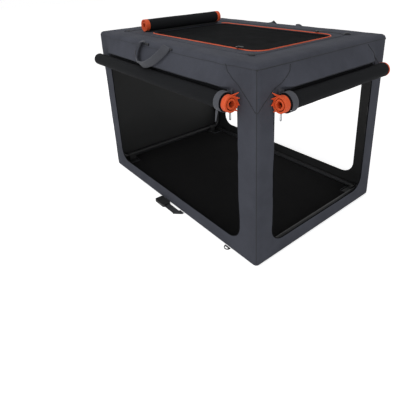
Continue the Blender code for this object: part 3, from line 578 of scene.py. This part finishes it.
sculpt(mat, rumpled)
settle(mat, "base", "mat", "floor_mat", material=fleece)
rim_x, rim_y = (half - PIPING_INSET for half in MAT_HALF)
in_x, in_y = MAT_NOTCH[0] - PIPING_INSET, MAT_NOTCH[1]
rim = [(rim_x, -in_y), (rim_x, in_y), (in_x, in_y), (in_x, rim_y), (-in_x, rim_y), (-in_x, in_y),
       (-rim_x, in_y), (-rim_x, -in_y), (-in_x, -in_y), (-in_x, -rim_y), (in_x, -rim_y), (in_x, -in_y)]
rim = denser([(x, y, MAT_HIGH + PIPING_LIFT) for x, y in rim], 0.01, True)
settle(bead("mat_piping", rim, PIPING_RADIUS, True), "base", "mat", material=piping)


# The hatch: a panel of black net in the roof, held by an orange zip that runs down both
# long sides and round the head. The panel's canvas cover is rolled back on the roof.
NET = "111213"
NET_SEAM, NET_DROP, NET_SAG, NET_PUCKER, NET_THICK = 0.008, 0.0006, 0.004, 0.0012, 0.0008
HATCH_ORANGE = "D9572A"
TAPE_WIDTH, TAPE_OUT, TAPE_FLAT, TAPE_START = 0.0042, 0.0015, 0.45, 0.012
COIL_LIFT, COIL_RADIUS = 0.0012, 0.0011

# Knitted polyester net: dull black threads round small holes. The holes are darker dots, low in the relief:
# painted shade seen through them.
net, tree = surface("knitted_net", Roughness=0.9, Specular_IOR_Level=0.02)
cells = pattern(tree, "Voronoi", Scale=480.0, Randomness=0.25)
hole = node(tree, "MapRange", {"From Min": 0.15, "From Max": 0.45}, Value=cells).outputs[0]
dyed(tree, hole, tone(NET, 0.35), tone(NET, 1.4))
emboss(tree, hole, 0.5, 0.0006)

# Nylon zip coil on woven tape: bright orange, a little glossier than the edge bindings.
zip_orange, tree = surface("nylon_zip_coil", Roughness=0.5)
soil = pattern(tree, "Noise", Scale=40.0, Detail=3.0)
dyed(tree, soil, tone(HATCH_ORANGE, 0.8), tone(HATCH_ORANGE, 1.15))
emboss(tree, pattern(tree, "Wave", Scale=160.0, Distortion=0.3), 0.3, 0.0004)

alone()
bpy.ops.mesh.primitive_grid_add(x_subdivisions=60, y_subdivisions=40, size=1,
                                location=((HATCH_LOW[0] + HATCH_HIGH[0]) / 2, 0, HEIGHT - CLOTH - NET_DROP))
hatch_net = named("hatch_net")
hatch_net.scale = (*(high - low + 2 * NET_SEAM for low, high in zip(HATCH_LOW, HATCH_HIGH)), 1)
bpy.ops.object.transform_apply(location=True, scale=True)


def sag(points):
    """The net sinks towards its middle and puckers near the zip."""
    x, y, z = points.T
    from_rim = np.minimum(np.minimum(x - HATCH_LOW[0], HATCH_HIGH[0] - x), HATCH_HIGH[1] - abs(y))
    inward = ease(from_rim, 0, 0.12)
    made = points.copy()
    made[:, 2] -= NET_SAG * inward + NET_PUCKER * (waves(points, 0.05, 2.0) + 0.6) * inward
    return made


sculpt(hatch_net, sag)
use(hatch_net, "SOLIDIFY", thickness=NET_THICK, offset=0)
settle(hatch_net, "roof", "net", "hatch_mesh", material=net)

tape_line = denser(rounded([v - TAPE_OUT for v in HATCH_LOW], [v + TAPE_OUT for v in HATCH_HIGH],
                           HATCH_RADIUS + TAPE_OUT, 12), 0.006, True)
tape_line = [(x, y, HEIGHT + 0.0001) for x, y, _ in tape_line if x > HATCH_LOW[0] + TAPE_START]
gap = next(i for i, (a, b) in enumerate(zip(tape_line, tape_line[1:])) if math.dist(a, b) > 0.05)
tape_line = tape_line[gap + 1:] + tape_line[:gap + 1]
hatch_tape = bead("hatch_zip_tape", tape_line, TAPE_WIDTH / 2)
sculpt(hatch_tape, lambda p: np.stack([p[:, 0], p[:, 1], HEIGHT + (p[:, 2] - HEIGHT) * TAPE_FLAT], 1))
settle(hatch_tape, "roof", "orange_binding", "hatch_zip", material=zip_orange)
hatch_coil = bead("hatch_zip_coil", [(x, y, z + COIL_LIFT) for x, y, z in tape_line], COIL_RADIUS)
settle(hatch_coil, "roof", "orange_binding", material=zip_orange)


# The sliders of the hatch zip: die-cast, blackened, each with a flat moulded tab. The
# solids are right as they are.
BLACK = "141416"

# Black zinc plating: dark metal with a soft shine, worn paler in places. On the near and far wire pulls it
# stands for painted shade.
black_plating_and_shade, tree = surface("black_plated_zinc_and_shade", Metallic=0.8, Roughness=0.35)
dyed(tree, pattern(tree, "Noise", Scale=160.0, Detail=3.0), tone(BLACK), tone("3A3B3D"))

dress([f"hatch_slider_{side}" for side, _ in SIDES], black_plating_and_shade)
dress([f"hatch_tab_{side}" for side, _ in SIDES], nylon)


# The doors: three panels of black mesh edged with canvas, zipped round their doorways.
# Here each is rolled up outwards over its doorway, four turns tight, and held by a
# webbing tie. Where a roll's end is bound, its orange edge binding shows as a spiral.
ROLL_OUT, ROLL_UP, ROLL_TURNS = 0.0253, 0.506, 4.0
NECK_TOP, NECK_LAP, NECK_EASE = 0.545, 0.010, 0.12
WOUND = ((0, 0.02325), (1, 0.0205), (1.7, 0.0188), (2.3, 0.0140), (3, 0.0125), (4, 0.0099))
ROLL_UNEVEN, ROLL_FINE = 0.0005, 0.0003
DOOR_CLOTH, BINDING_CLOTH, BINDING_WIDTH, FAR_BINDING = 0.0021, 0.0027, 0.016, 0.006
CLOTH_INSET, CLOTH_CELL, TURN_CELLS, NECK_CELLS = 0.002, 0.012, 30, 6
MESH_BLACK = "1A1B1D"
BINDING = "E0541F"
WEBBING = "3F4148"

# Door mesh: black knitted polyester, close and matt, its dye a little uneven.
door_mesh, tree = surface("knitted_door_mesh", Roughness=0.85, Specular_IOR_Level=0.09)
dye = pattern(tree, "Noise", "UV", Scale=9.0, Detail=4.0)
dyed(tree, dye, tone(MESH_BLACK, 0.75), tone(MESH_BLACK, 1.2))
emboss(tree, pattern(tree, "Voronoi", "UV", Scale=620.0, Randomness=0.15), 0.35, 0.0005)

# Grosgrain binding: orange ribbon with fine cross ribs, its colour a little uneven.
grosgrain, tree = surface("orange_grosgrain", Roughness=0.65, Sheen_Weight=0.04)
dye = pattern(tree, "Noise", "UV", Scale=60.0, Detail=3.0)
dyed(tree, dye, tone(BINDING, 0.82), tone(BINDING, 1.12))
emboss(tree, pattern(tree, "Wave", "UV", Scale=240.0, Distortion=0.4), 0.3, 0.0005)

# Flat nylon webbing: dark grey with close cross ribs, lighter on top with painted shade between them.
webbing, tree = surface("nylon_webbing", Roughness=0.75, Sheen_Weight=0.06)
ribs = pattern(tree, "Wave", "UV", Scale=210.0, Distortion=0.5)
rows = pattern(tree, "Wave", "UV", Scale=130.0, bands_direction="Y")
dyed(tree, ribs, tone(WEBBING, 0.78), tone(WEBBING, 1.1))
emboss(tree, node(tree, "Math", {"operation": "ADD"}, i0=ribs, i1=rows).outputs[0], 0.35, 0.0005)


def flat_cloth(name, length, width, length_cells, width_cells):
    """A flat piece of cloth before it is bent: length along X, width along Y, its UV map in metres."""
    alone()
    bpy.ops.mesh.primitive_grid_add(x_subdivisions=length_cells, y_subdivisions=width_cells, size=1)
    piece = named(name)
    piece.scale = (length, width, 1)
    bpy.ops.object.transform_apply(scale=True)
    table = np.empty(len(piece.data.loops) * 2, np.float32)
    layer = piece.data.uv_layers[0].data
    layer.foreach_get("uv", table)
    table = table.reshape(-1, 2) * (length, width)
    layer.foreach_set("uv", table.astype(np.float32).ravel())
    return piece


def spiral(turn):
    """The roll's radius after some turns: nearly two tight ones, a slack half, then tight to the core."""
    return float(np.interp(turn, *zip(*WOUND)))


def roll_section(neck=True):
    """The door's line in section as (out, up, turn) from the seam down the neck and round the roll."""
    line = []
    if neck:
        line = [(ROLL_OUT - spiral(0), NECK_TOP + (ROLL_UP - NECK_TOP) * i / NECK_CELLS, -1.0)
                for i in range(NECK_CELLS)]
    for step in range(int(ROLL_TURNS * TURN_CELLS) + 1):
        turn = step / TURN_CELLS
        radius = spiral(turn)
        angle = math.pi + 2 * math.pi * turn
        line.append((ROLL_OUT + radius * math.cos(angle), ROLL_UP + radius * math.sin(angle), turn))
    return line


def face_of(side):
    """Where a face's own axes (along, up, out) lie: the near, far and open end's, and the roof's."""
    foot, turn = {
        "near": ((0, -WIDTH / 2, 0), ((1, 0, 0), (0, 0, -1), (0, 1, 0))),
        "far": ((0, WIDTH / 2, 0), ((-1, 0, 0), (0, 0, 1), (0, 1, 0))),
        "end": ((LENGTH / 2, 0, 0), ((0, 0, 1), (1, 0, 0), (0, 1, 0))),
        "roof": ((0, 0, HEIGHT), ((0, 1, 0), (-1, 0, 0), (0, 0, 1))),
    }[side]
    return Matrix.Translation(foot) @ Matrix(turn).to_4x4()


def rolled(name, start, stop, thick, seed, reach, shift=0.0, cells=None):
    """Cloth rolled up between two places along its face, a little uneven as hand-rolled cloth
    is. Its neck fills the doorway's rounded top corners and no more, out to reach."""
    line = np.array(roll_section(neck=cells is None))
    length = float(np.linalg.norm(np.diff(line[:, :2], axis=0), axis=1).sum())
    cells = cells or max(3, int((stop - start) / CLOTH_CELL))
    piece = flat_cloth(name, length, stop - start, len(line) - 1, cells)

    def wind(points):
        row = np.rint((points[:, 0] / length + 0.5) * (len(line) - 1)).astype(int)
        along = (start + stop) / 2 + points[:, 1]
        out, up, turn = line[row].T
        angle = np.arctan2(up - ROLL_UP, out - ROLL_OUT)
        spots = np.stack([along * 9, np.cos(angle) * 0.7 + seed, np.sin(angle) * 0.7], 1)
        swell = ROLL_UNEVEN * np.array([noise.noise(Vector(p)) for p in spots])
        swell += ROLL_FINE * np.array([noise.noise(Vector(p) * 4.3) for p in spots])
        swell = swell * (turn >= 0)
        corner = np.clip(abs(along) - reach + DOOR_RADIUS, 0, DOOR_RADIUS)
        rim = (DOOR_TOP - DOOR_RADIUS + np.sqrt(DOOR_RADIUS ** 2 - corner ** 2) + NECK_LAP
               - NECK_EASE * corner)
        hang = np.clip((rim - ROLL_UP) / (NECK_TOP - ROLL_UP), 0.04, 1)
        up = np.where(turn < 0, ROLL_UP + (up - ROLL_UP) * hang, up)
        return np.stack([along, up + swell * np.sin(angle) + shift, out + swell * np.cos(angle)], 1)
    sculpt(piece, wind)
    use(piece, "SOLIDIFY", thickness=thick, offset=0)
    return piece


def thicken(piece, thick, edge):
    """Gives laid webbing its thickness and softens its edges."""
    use(piece, "SOLIDIFY", thickness=thick, offset=0)
    use(piece, "BEVEL", width=edge, segments=2, limit_method="ANGLE", angle_limit=math.radians(50))


def strip(name, stations, thick, cells=4, steps=5):
    """A flat strip of webbing through stations of (place, width), smoothed between them."""
    given = np.array([(list(place), list(width)) for place, width in stations], float)
    rows = []
    for i in range(len(given) - 1):
        a, b, c, d = given[max(i - 1, 0)], given[i], given[i + 1], given[min(i + 2, len(given) - 1)]
        for step in range(steps):
            t = step / steps
            rows.append(0.5 * (2 * b + (c - a) * t + (2 * a - 5 * b + 4 * c - d) * t ** 2
                               + (3 * b - a - 3 * c + d) * t ** 3))
    rows = np.array([*rows, given[-1]])
    length = float(np.linalg.norm(np.diff(rows[:, 0], axis=0), axis=1).sum())
    width = float(np.linalg.norm(given[0, 1]))
    piece = flat_cloth(name, length, width, len(rows) - 1, cells)

    def lay(points):
        row = np.rint((points[:, 0] / length + 0.5) * (len(rows) - 1)).astype(int)
        return rows[row, 0] + (points[:, 1] / width)[:, None] * rows[row, 1]
    sculpt(piece, lay)
    thicken(piece, thick, thick * 0.3)
    return piece


TIE_WIDTH, TIE_INWARD, TIE_RADIUS, TIE_THICK = 0.022, 0.031, 0.0272, 0.0016
TIE_HEAD, TIE_CLEAR = ((0.550, 0.002), (0.536, 0.003)), 0.0016
TIE_FROM, TIE_TURN, TIE_STEPS = 138, 322, 14
TAIL_FROM, TAIL_STEP = np.array((0.008, 0.484, 0.043)), np.array((0.004, -0.0125, -0.0012))
TAIL_WIDTH, TAIL_THICK = 0.010, 0.0014
FLAPS = ((112, 0.0345, 0.008), (146, 0.0215, 0.014), (186, 0.0200, 0.009), (240, 0.0325, -0.001))
FLAP_ROOT, FLAP_TUCK, FLAP_WIDTH, FLAP_TIP = 0.0215, 0.006, 0.0115, 0.0014
FLAP_THICK, FLAP_CLEAR = 0.0013, 0.0022
DOORS = (
    ("near", -0.427, 0.392, (False, True), 1.0),
    ("far", -0.392, 0.427, (True, False), 2.0),
    ("end", -0.250, 0.254, (True, True), 3.0),
)
for side, start, stop, bound, seed in DOORS:
    face = face_of(side)
    reach = END_HALF if side == "end" else SIDE_HALF
    roll = rolled(f"{side}_door_cloth", start + CLOTH_INSET * bound[0], stop - CLOTH_INSET * bound[1],
                  DOOR_CLOTH, seed, reach)
    settle(roll, "roof", "rolled_cloth", f"{side}_door_roll", material=door_mesh, face=face)
    main = 1 if bound[1] and side != "end" else 0
    for index, (is_bound, tip, inward) in enumerate(((bound[0], start, 1), (bound[1], stop, -1))):
        if not is_bound:
            continue
        ends = sorted((tip, tip + inward * (BINDING_WIDTH if index == main else FAR_BINDING)))
        binding = rolled(f"{side}_door_binding_{index}", *ends, BINDING_CLOTH, seed, reach, cells=3)
        replaced = [f"{side}_door_roll_binding"] if index == main else []
        settle(binding, "roof", "orange_binding", *replaced, material=grosgrain, face=face)

    inward = -1 if side == "near" else 1
    bound_tip = stop if side == "near" else start
    for index, (turn, reach_out, ahead) in enumerate(FLAPS):
        stations = []
        for share in (0.0, 0.35, 0.7, 1.0):
            angle = math.radians(turn + 10 * share * (-1) ** index)
            radius = FLAP_ROOT + (reach_out - FLAP_ROOT) * share ** 1.4
            spot = (bound_tip - inward * (ahead + FLAP_TUCK) * share + inward * FLAP_TUCK,
                    ROLL_UP + radius * math.sin(angle),
                    max(ROLL_OUT + radius * math.cos(angle), FLAP_CLEAR))
            tangent = Vector((0, math.cos(angle), -math.sin(angle)))
            stations.append((spot, tangent * (FLAP_WIDTH * (1 - share) + FLAP_TIP)))
        flap = strip(f"{side}_door_binding_flap_{index}", stations, FLAP_THICK)
        settle(flap, "roof", "orange_binding", material=grosgrain, face=face)

    middle = bound_tip + inward * TIE_INWARD
    loop = list(TIE_HEAD)
    for step in range(TIE_STEPS + 1):
        turn = math.radians(TIE_FROM - TIE_TURN * step / TIE_STEPS)
        loop.append((ROLL_UP + TIE_RADIUS * math.sin(turn),
                     max(ROLL_OUT + TIE_RADIUS * math.cos(turn), TIE_CLEAR)))
    loop = [((middle, up, out), (TIE_WIDTH, 0, 0)) for up, out in loop]
    tie = strip(f"{side}_door_strap", loop, TIE_THICK)
    settle(tie, "roof", "webbing", f"{side}_door_tie", material=webbing, face=face)
    if side != "end":
        tail = []
        for i in range(4):
            ahead, up, out = TAIL_FROM + TAIL_STEP * i
            tail.append(((middle + inward * ahead, up, out), (TAIL_WIDTH, 0.001 * i, 0.002 * i)))
        hanging = strip(f"{side}_door_strap_tail", tail, TAIL_THICK)
        settle(hanging, "roof", "webbing", material=webbing, face=face)


# The hatch's cover: canvas and mesh rolled up along the roof at the hatch's foot, with
# the same orange binding at both ends.
HATCH_ROLL_HALF, HATCH_SEED, HATCH_FOOT = 0.188, 4.0, 0.005
HATCH_SHIFT = HATCH_LOW[0] + HATCH_FOOT - NECK_TOP
cover = rolled("hatch_cover_cloth", -HATCH_ROLL_HALF + CLOTH_INSET, HATCH_ROLL_HALF - CLOTH_INSET,
               DOOR_CLOTH, HATCH_SEED, HATCH_ROLL_HALF, HATCH_SHIFT)
settle(cover, "roof", "rolled_cloth", "hatch_roll", material=door_mesh, face=face_of("roof"))
for side, sign in SIDES:
    ends = sorted((-sign * HATCH_ROLL_HALF, -sign * (HATCH_ROLL_HALF - BINDING_WIDTH)))
    binding = rolled(f"hatch_cover_binding_{side}", *ends, BINDING_CLOTH, HATCH_SEED, HATCH_ROLL_HALF,
                     HATCH_SHIFT, cells=3)
    settle(binding, "roof", "orange_binding", f"hatch_roll_binding_{side}", material=grosgrain,
           face=face_of("roof"))


# The wire pulls that hang from the door zips: a long eye of steel wire each, bright at the
# open end. The pulls on the long sides hang in shade and are given the black finish: painted shade.
STEEL = "85878B"
EYE_HALF, EYE_TALL, EYE_UP, EYE_STEPS, WIRE_RADIUS = 0.0037, 0.022, 0.4703, 24, 0.0011

# Bright steel wire: polished, faintly drawn along its length.
wire, tree = surface("bright_steel_wire", Base_Color=tone(STEEL), Metallic=1.0)
drawn = pattern(tree, "Noise", Scale=300.0, Detail=2.0)
feed(tree, node(tree, "MapRange", {"To Min": 0.22, "To Max": 0.4}, Value=drawn).outputs[0], "Roughness")

for side, along in (("near", 0.385), ("far", -0.385), ("end", -0.243)):
    eyelet = []
    for step in range(EYE_STEPS):
        turn = 2 * math.pi * step / EYE_STEPS
        raised = EYE_TALL / 2 - EYE_HALF if math.sin(turn) > 0 else EYE_HALF - EYE_TALL / 2
        eyelet.append((along + (EYE_HALF - WIRE_RADIUS) * math.cos(turn),
                       EYE_UP + raised + (EYE_HALF - WIRE_RADIUS) * math.sin(turn), ROLL_OUT))
    pull = bead(f"{side}_door_wire_pull", eyelet, WIRE_RADIUS, True, 3)
    # The near and far pulls are black for the shade they hang in: a painted shade.
    settle(pull, f"{side}_pull", "wire", f"{side}_door_pull", material=wire if side == "end" else black_plating_and_shade,
           face=face_of(side))


# The carry handles: a length of grey webbing each, folded double for the grip. They come
# out of slots at the roof's edge and hang over the rolls of the long sides, a bit askew.
HANDLE_PATH = (
    (-0.074, 0.6045, 0.0004), (-0.082, 0.6110, 0.0055), (-0.098, 0.6030, 0.0130), (-0.107, 0.5860, 0.0200),
    (-0.103, 0.5680, 0.0275), (-0.084, 0.5520, 0.0345), (-0.055, 0.5440, 0.0385), (-0.020, 0.5470, 0.0400),
    (0.014, 0.5590, 0.0380), (0.042, 0.5760, 0.0320), (0.061, 0.5930, 0.0220), (0.069, 0.6080, 0.0100),
    (0.069, 0.6100, 0.0040), (0.068, 0.6045, 0.0004),
)
HANDLE_WIDTH, HANDLE_THICK = 0.026, 0.0028
SLOT_SPAN, SLOT_BACK, SLOT_DROP, SLOT_OUT, SLOT_RADIUS = 0.032, 0.010, 0.0010, 0.0004, 0.0040
FLAT_LAY, TWISTED_LAY = Vector((0.86, 0.10, 0.50)), Vector((0.34, -0.62, -0.52))

# Bar-tack stitching: black bonded polyester, dull and close, its turns lighter on top with painted shade
# between them. The same black paints the shade along the case's seams, beside the roof's welt and in the
# handle slots.
thread_and_seam_shade, tree = surface("bonded_thread_and_seam_shade", Roughness=0.8)
turns = pattern(tree, "Wave", Scale=420.0, Distortion=1.5)
dyed(tree, turns, tone("131417"), tone("24262B"))
emboss(tree, turns, 0.4, 0.0003)

for side, sign in SIDES:
    face = face_of(side)
    stations = []
    for i, spot in enumerate(HANDLE_PATH):
        before, after = HANDLE_PATH[max(i - 1, 0)], HANDLE_PATH[min(i + 1, len(HANDLE_PATH) - 1)]
        heading = (Vector(after) - Vector(before)).normalized()
        share = i / (len(HANDLE_PATH) - 1)
        twist = float(ease(share, 0.30, 0.55) - ease(share, 0.80, 0.97))
        in_slot = float(1 - ease(share, 0.0, 0.12) + ease(share, 0.88, 1.0))
        lay = FLAT_LAY.lerp(TWISTED_LAY, twist).lerp(Vector((1, 0, 0)), in_slot)
        stations.append((spot, (lay - lay.dot(heading) * heading).normalized() * HANDLE_WIDTH))
    handle = strip(f"carry_strap_{side}", stations, HANDLE_THICK, cells=6)
    settle(handle, None, "webbing", f"carry_handle_{side}", material=webbing, face=face)
    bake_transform(handle)
    for index, (x, y, _) in enumerate((HANDLE_PATH[0], HANDLE_PATH[-1])):
        # Each slot's mouth is a black bead: painted shade in the slot.
        mouth = [(x - SLOT_BACK + SLOT_SPAN * i / 6, y - SLOT_DROP, SLOT_OUT) for i in range(7)]
        slot = bead(f"handle_slot_shade_{side}_{index}", mouth, SLOT_RADIUS)
        settle(slot, "roof", "canvas", material=thread_and_seam_shade, face=face)


# The case's sewing: a dark seam down each corner and round the roof's edge, a slanting gusset
# seam on each face of the open end's corners, hems on the skirts, a piped welt round the roof
# panel with a webbing tab at each of its corners, and the doorways' zips. The seams, the hems
# and the welt's stitching are thin black beads, and their black is mostly painted shade.
SEAM, HEM, WELT, WELT_STITCH, ZIP = 0.0011, 0.0006, 0.0018, 0.0015, 0.0016
SEAM_LIFT, HEM_LIFT, SEW_CELL, CARRY_OVER, SEAM_STEP = 0.0003, 0.0002, 0.012, 0.004, 0.0002
SEAM_FOOT, EDGE_SEAM, END_EDGE_SEAM, OPEN_EDGE, CLOSED_EDGE = 0.010, 0.5995, 0.5955, 0.44, 0.46
SIDE_GUSSET = ((0.343, 0.004, 0.6), (0.350, 0.02, 0.592), (0.4562, 0.008, 0.487))
END_GUSSET = ((0.004, 0.184, 0.5955), (0.02, 0.191, 0.588), (0.008, 0.3042, 0.486))
HEM_OUT, HEM_UP, SIDE_HEM, END_HEM = 0.03, 0.008, (-0.375, 0.372, 40), (-0.229, 0.229, 26)
BACK_LOW, BACK_HIGH, BACK_RADIUS = (-0.222, 0.082), (0.222, 0.522), 0.03
WELT_LOW, WELT_HIGH, WELT_RADIUS, STITCH_INSET = (-0.365, -0.228), (0.362, 0.228), 0.040, 0.0026
sewn = {"roof": [], "walls": [], "floor": []}
posts = {(sy, sx): bpy.data.objects[f"corner_post_{corner}"] for corner, sy, sx in CORNERS}


def on_surface(piece, spot, lift):
    """The nearest place on a piece, lifted off it."""
    found, point, normal, _ = piece.closest_point_on_mesh(Vector(spot))
    return tuple(point + normal * lift) if found else tuple(spot)


def sew(places, radius, lift=0.0, closed=False):
    """Lays a seam, a welt or a zip along the case, in a run on each piece of cloth that it crosses."""
    runs = []
    for spot in denser(places, SEW_CELL, closed) + (places[:1] if closed else []):
        x, y, z = spot
        part, cloth = "walls", posts[math.copysign(1, y), math.copysign(1, x)]
        if z >= ROOF_SPLIT or z <= FLOOR_SPLIT:
            part, cloth = ("roof", roof_case) if z >= ROOF_SPLIT else ("floor", floor_case)
        if not runs or runs[-1][1] is not cloth:
            apart = runs and math.dist(runs[-1][2][-1], spot) > CARRY_OVER
            runs.append((part, cloth, [runs[-1][2][-1]] if apart else []))
        runs[-1][2].append(on_surface(cloth, spot, lift))
    for part, _, line in runs:
        if len(line) > 1:
            sewn[part].append(bead("seam_run", line, radius, sides=1))


def collect(kind, material):
    """Joins what has been sewn so far into one piece for each part of the case."""
    for part, body in (("roof", "roof"), ("walls", "base"), ("floor", "base")):
        if not sewn[part]:
            continue
        alone(sewn[part][0])
        for run in sewn[part]:
            run.select_set(True)
        bpy.ops.object.join()
        piece = settle(named(f"{kind}_{part}"), body, "canvas", material=material)
        if part == "walls":
            crumple(piece)
        sewn[part] = []


heights = [split + step for split in (FLOOR_SPLIT, ROOF_SPLIT) for step in (-SEAM_STEP, SEAM_STEP)]
for _, sy, sx in CORNERS:
    sew([(sx * LENGTH / 2, sy * WIDTH / 2, z) for z in (SEAM_FOOT, *heights, EDGE_SEAM)], SEAM)
edge = rounded((-LENGTH / 2, -WIDTH / 2), (LENGTH / 2, WIDTH / 2), CORNER_RADIUS, 5, EDGE_SEAM)
edge = [(1.04 * x, 1.06 * y, z - (EDGE_SEAM - END_EDGE_SEAM) * (x > LENGTH / 2 - 0.002))
        for x, y, z in edge]
sew([spot for spot in edge if spot[0] > OPEN_EDGE], SEAM, SEAM_LIFT)
sew([spot for spot in edge if spot[0] <= CLOSED_EDGE], HEM, HEM_LIFT)
for sign in (-1, 1):
    sew([(x, sign * (WIDTH / 2 + out), z) for x, out, z in SIDE_GUSSET], SEAM, SEAM_LIFT)
    sew([(LENGTH / 2 + out, sign * y, z) for out, y, z in END_GUSSET], SEAM, SEAM_LIFT)
    sew([(x, sign * (WIDTH / 2 + HEM_OUT), DOOR_TOP + HEM_UP) for x in np.linspace(*SIDE_HEM)], HEM)
sew([(LENGTH / 2 + HEM_OUT, y, DOOR_TOP + HEM_UP) for y in np.linspace(*END_HEM)], HEM)
back = rounded(BACK_LOW, BACK_HIGH, BACK_RADIUS, 6)
sew([(-LENGTH / 2 - 0.01, y, z) for y, z, _ in back], HEM, HEM_LIFT, closed=True)
# The seams and hems are drawn black: painted shade along each seam.
collect("canvas_seam_shade", thread_and_seam_shade)
sew(rounded(WELT_LOW, WELT_HIGH, WELT_RADIUS, 8, HEIGHT), WELT, closed=True)
collect("piped_welt", canvas)
# The stitching inside the welt is drawn black: painted shade beside the welt.
inside = rounded([v + STITCH_INSET for v in WELT_LOW], [v - STITCH_INSET for v in WELT_HIGH],
                 WELT_RADIUS, 8, HEIGHT)
sew(inside, WELT_STITCH, SEAM_LIFT, closed=True)
collect("welt_stitch_shade", thread_and_seam_shade)


def doorway(half):
    """The line round a doorway from its left post down, along its foot and up its right post."""
    low_corners = rounded((-half, DOOR_BOTTOM), (half, DOOR_TOP + 0.2), DOOR_RADIUS, 8)[18:36]
    return [(-half, ROOF_SPLIT - 0.001), *((a, b) for a, b, _ in low_corners), (half, ROOF_SPLIT - 0.001)]


for sign in (-1, 1):
    sew([(a, sign * (WIDTH / 2 - CLOTH / 2), b) for a, b in doorway(SIDE_HALF)], ZIP)
sew([(LENGTH / 2 - CLOTH / 2, a, b) for a, b in doorway(END_HALF)], ZIP)
collect("door_zip", net)

TAB_OUT, TAB_LONG, TAB_ACROSS = 0.003, (0.016, 0.012), (0.011, -0.013)
TAB_LIFT, TAB_PUFF, TAB_THICK = 0.0012, 0.0034, 0.0016
for sx, sy in ((-1, -1), (1, -1), (1, 1), (-1, 1)):
    x, y = (WELT_HIGH if sx > 0 else WELT_LOW)[0] + sx * TAB_OUT, sy * (WELT_HIGH[1] + TAB_OUT)
    stations = [((x - sx * TAB_LONG[0] * (1 - t), y - sy * TAB_LONG[1] * (1 - t),
                  HEIGHT + TAB_LIFT + TAB_PUFF * math.sin(math.pi * t) ** 0.7),
                 (TAB_ACROSS[0] * sy, TAB_ACROSS[1] * sx, 0)) for t in (0.0, 0.25, 0.5, 0.75, 1.0)]
    name = f"corner_tab_{'open' if sx > 0 else 'closed'}_{'far' if sy > 0 else 'near'}"
    settle(strip(name, stations, TAB_THICK), "roof", "webbing", material=thread_and_seam_shade)


# The storage strap and its buckle: webbing from under the near side, folded over on the
# diagonal, that holds the crate together when it is folded, and half a moulded buckle.
STRAP_THICK, STRAP_FOLD, STRAP_EDGE = 0.002, 0.0022, 0.0005
STRAP_NEAR, STRAP_OUT, STRAP_WAVE = -0.3105, -0.3355, 0.0002
FOLD_PLACES = ((0.083, STRAP_NEAR), (0.058, STRAP_OUT))
BOX_STITCH = ((0.004, -0.3135), (0.020, -0.3135), (0.020, -0.3325), (0.004, -0.3325))
STITCH_RADIUS, RIB_RADIUS = 0.0004, 0.0007
RIB_PLACE, RIB_STEP, RIB_HALF = (-0.052, -0.3235, 0.0101), 0.006, 0.0115


def patch(name, corners, low, cells=(14, 6)):
    """A flat four-sided piece of webbing on given corners, softly uneven, with rounded edges."""
    piece = flat_cloth(name, 1, 1, *cells)

    def lay(points):
        u, v = points[:, :1] + 0.5, points[:, 1:2] + 0.5
        a, b, c, d = (np.array(spot) for spot in corners)
        flat = (a * (1 - u) + b * u) * (1 - v) + (d * (1 - u) + c * u) * v
        return np.hstack([flat, low + STRAP_THICK / 2 + STRAP_WAVE * np.sin(9 * u + 4 * v)])
    sculpt(piece, lay)
    thicken(piece, STRAP_THICK - 2 * STRAP_WAVE, STRAP_EDGE)
    return piece


# Black nylon webbing: the same weave as the ties, dyed black, with the same painted shade between its ribs.
black_webbing = webbing.copy()
black_webbing.name = "black_nylon_webbing"
ramp = next(n for n in black_webbing.node_tree.nodes if n.bl_idname == "ShaderNodeValToRGB").color_ramp
ramp.elements[0].color, ramp.elements[1].color = tone("1B1C1F"), tone("303236")

root = patch("strap_root_webbing", [(0.058, -0.303), (0.083, -0.303), *FOLD_PLACES], 0.0)
settle(root, "base", "webbing", "strap_root", material=black_webbing)
free = patch("storage_strap_webbing", [(0.0, STRAP_NEAR), *FOLD_PLACES, (0.0, STRAP_OUT)],
             STRAP_THICK + 0.0003)
settle(free, "strap", "webbing", "storage_strap", material=black_webbing)
diagonal = denser([(*place, STRAP_FOLD) for place in FOLD_PLACES], 0.004)
settle(bead("strap_fold", diagonal, STRAP_FOLD - 0.0001), "base", "webbing", material=black_webbing)
box = denser([(x, y, 2 * STRAP_THICK + STITCH_RADIUS) for x, y in BOX_STITCH], 0.003, True)
settle(bead("strap_stitch", box, STITCH_RADIUS, True), "strap", "webbing", material=thread_and_seam_shade)
dress(["storage_buckle", "tie_down_loop"], nylon)
for index in range(3):
    x, y, z = RIB_PLACE
    rib = [(x + RIB_STEP * index, y + RIB_HALF * t, z) for t in (-1, -0.5, 0, 0.5, 1)]
    settle(bead(f"buckle_grip_{index}", rib, RIB_RADIUS), "strap", "plastic", material=nylon)
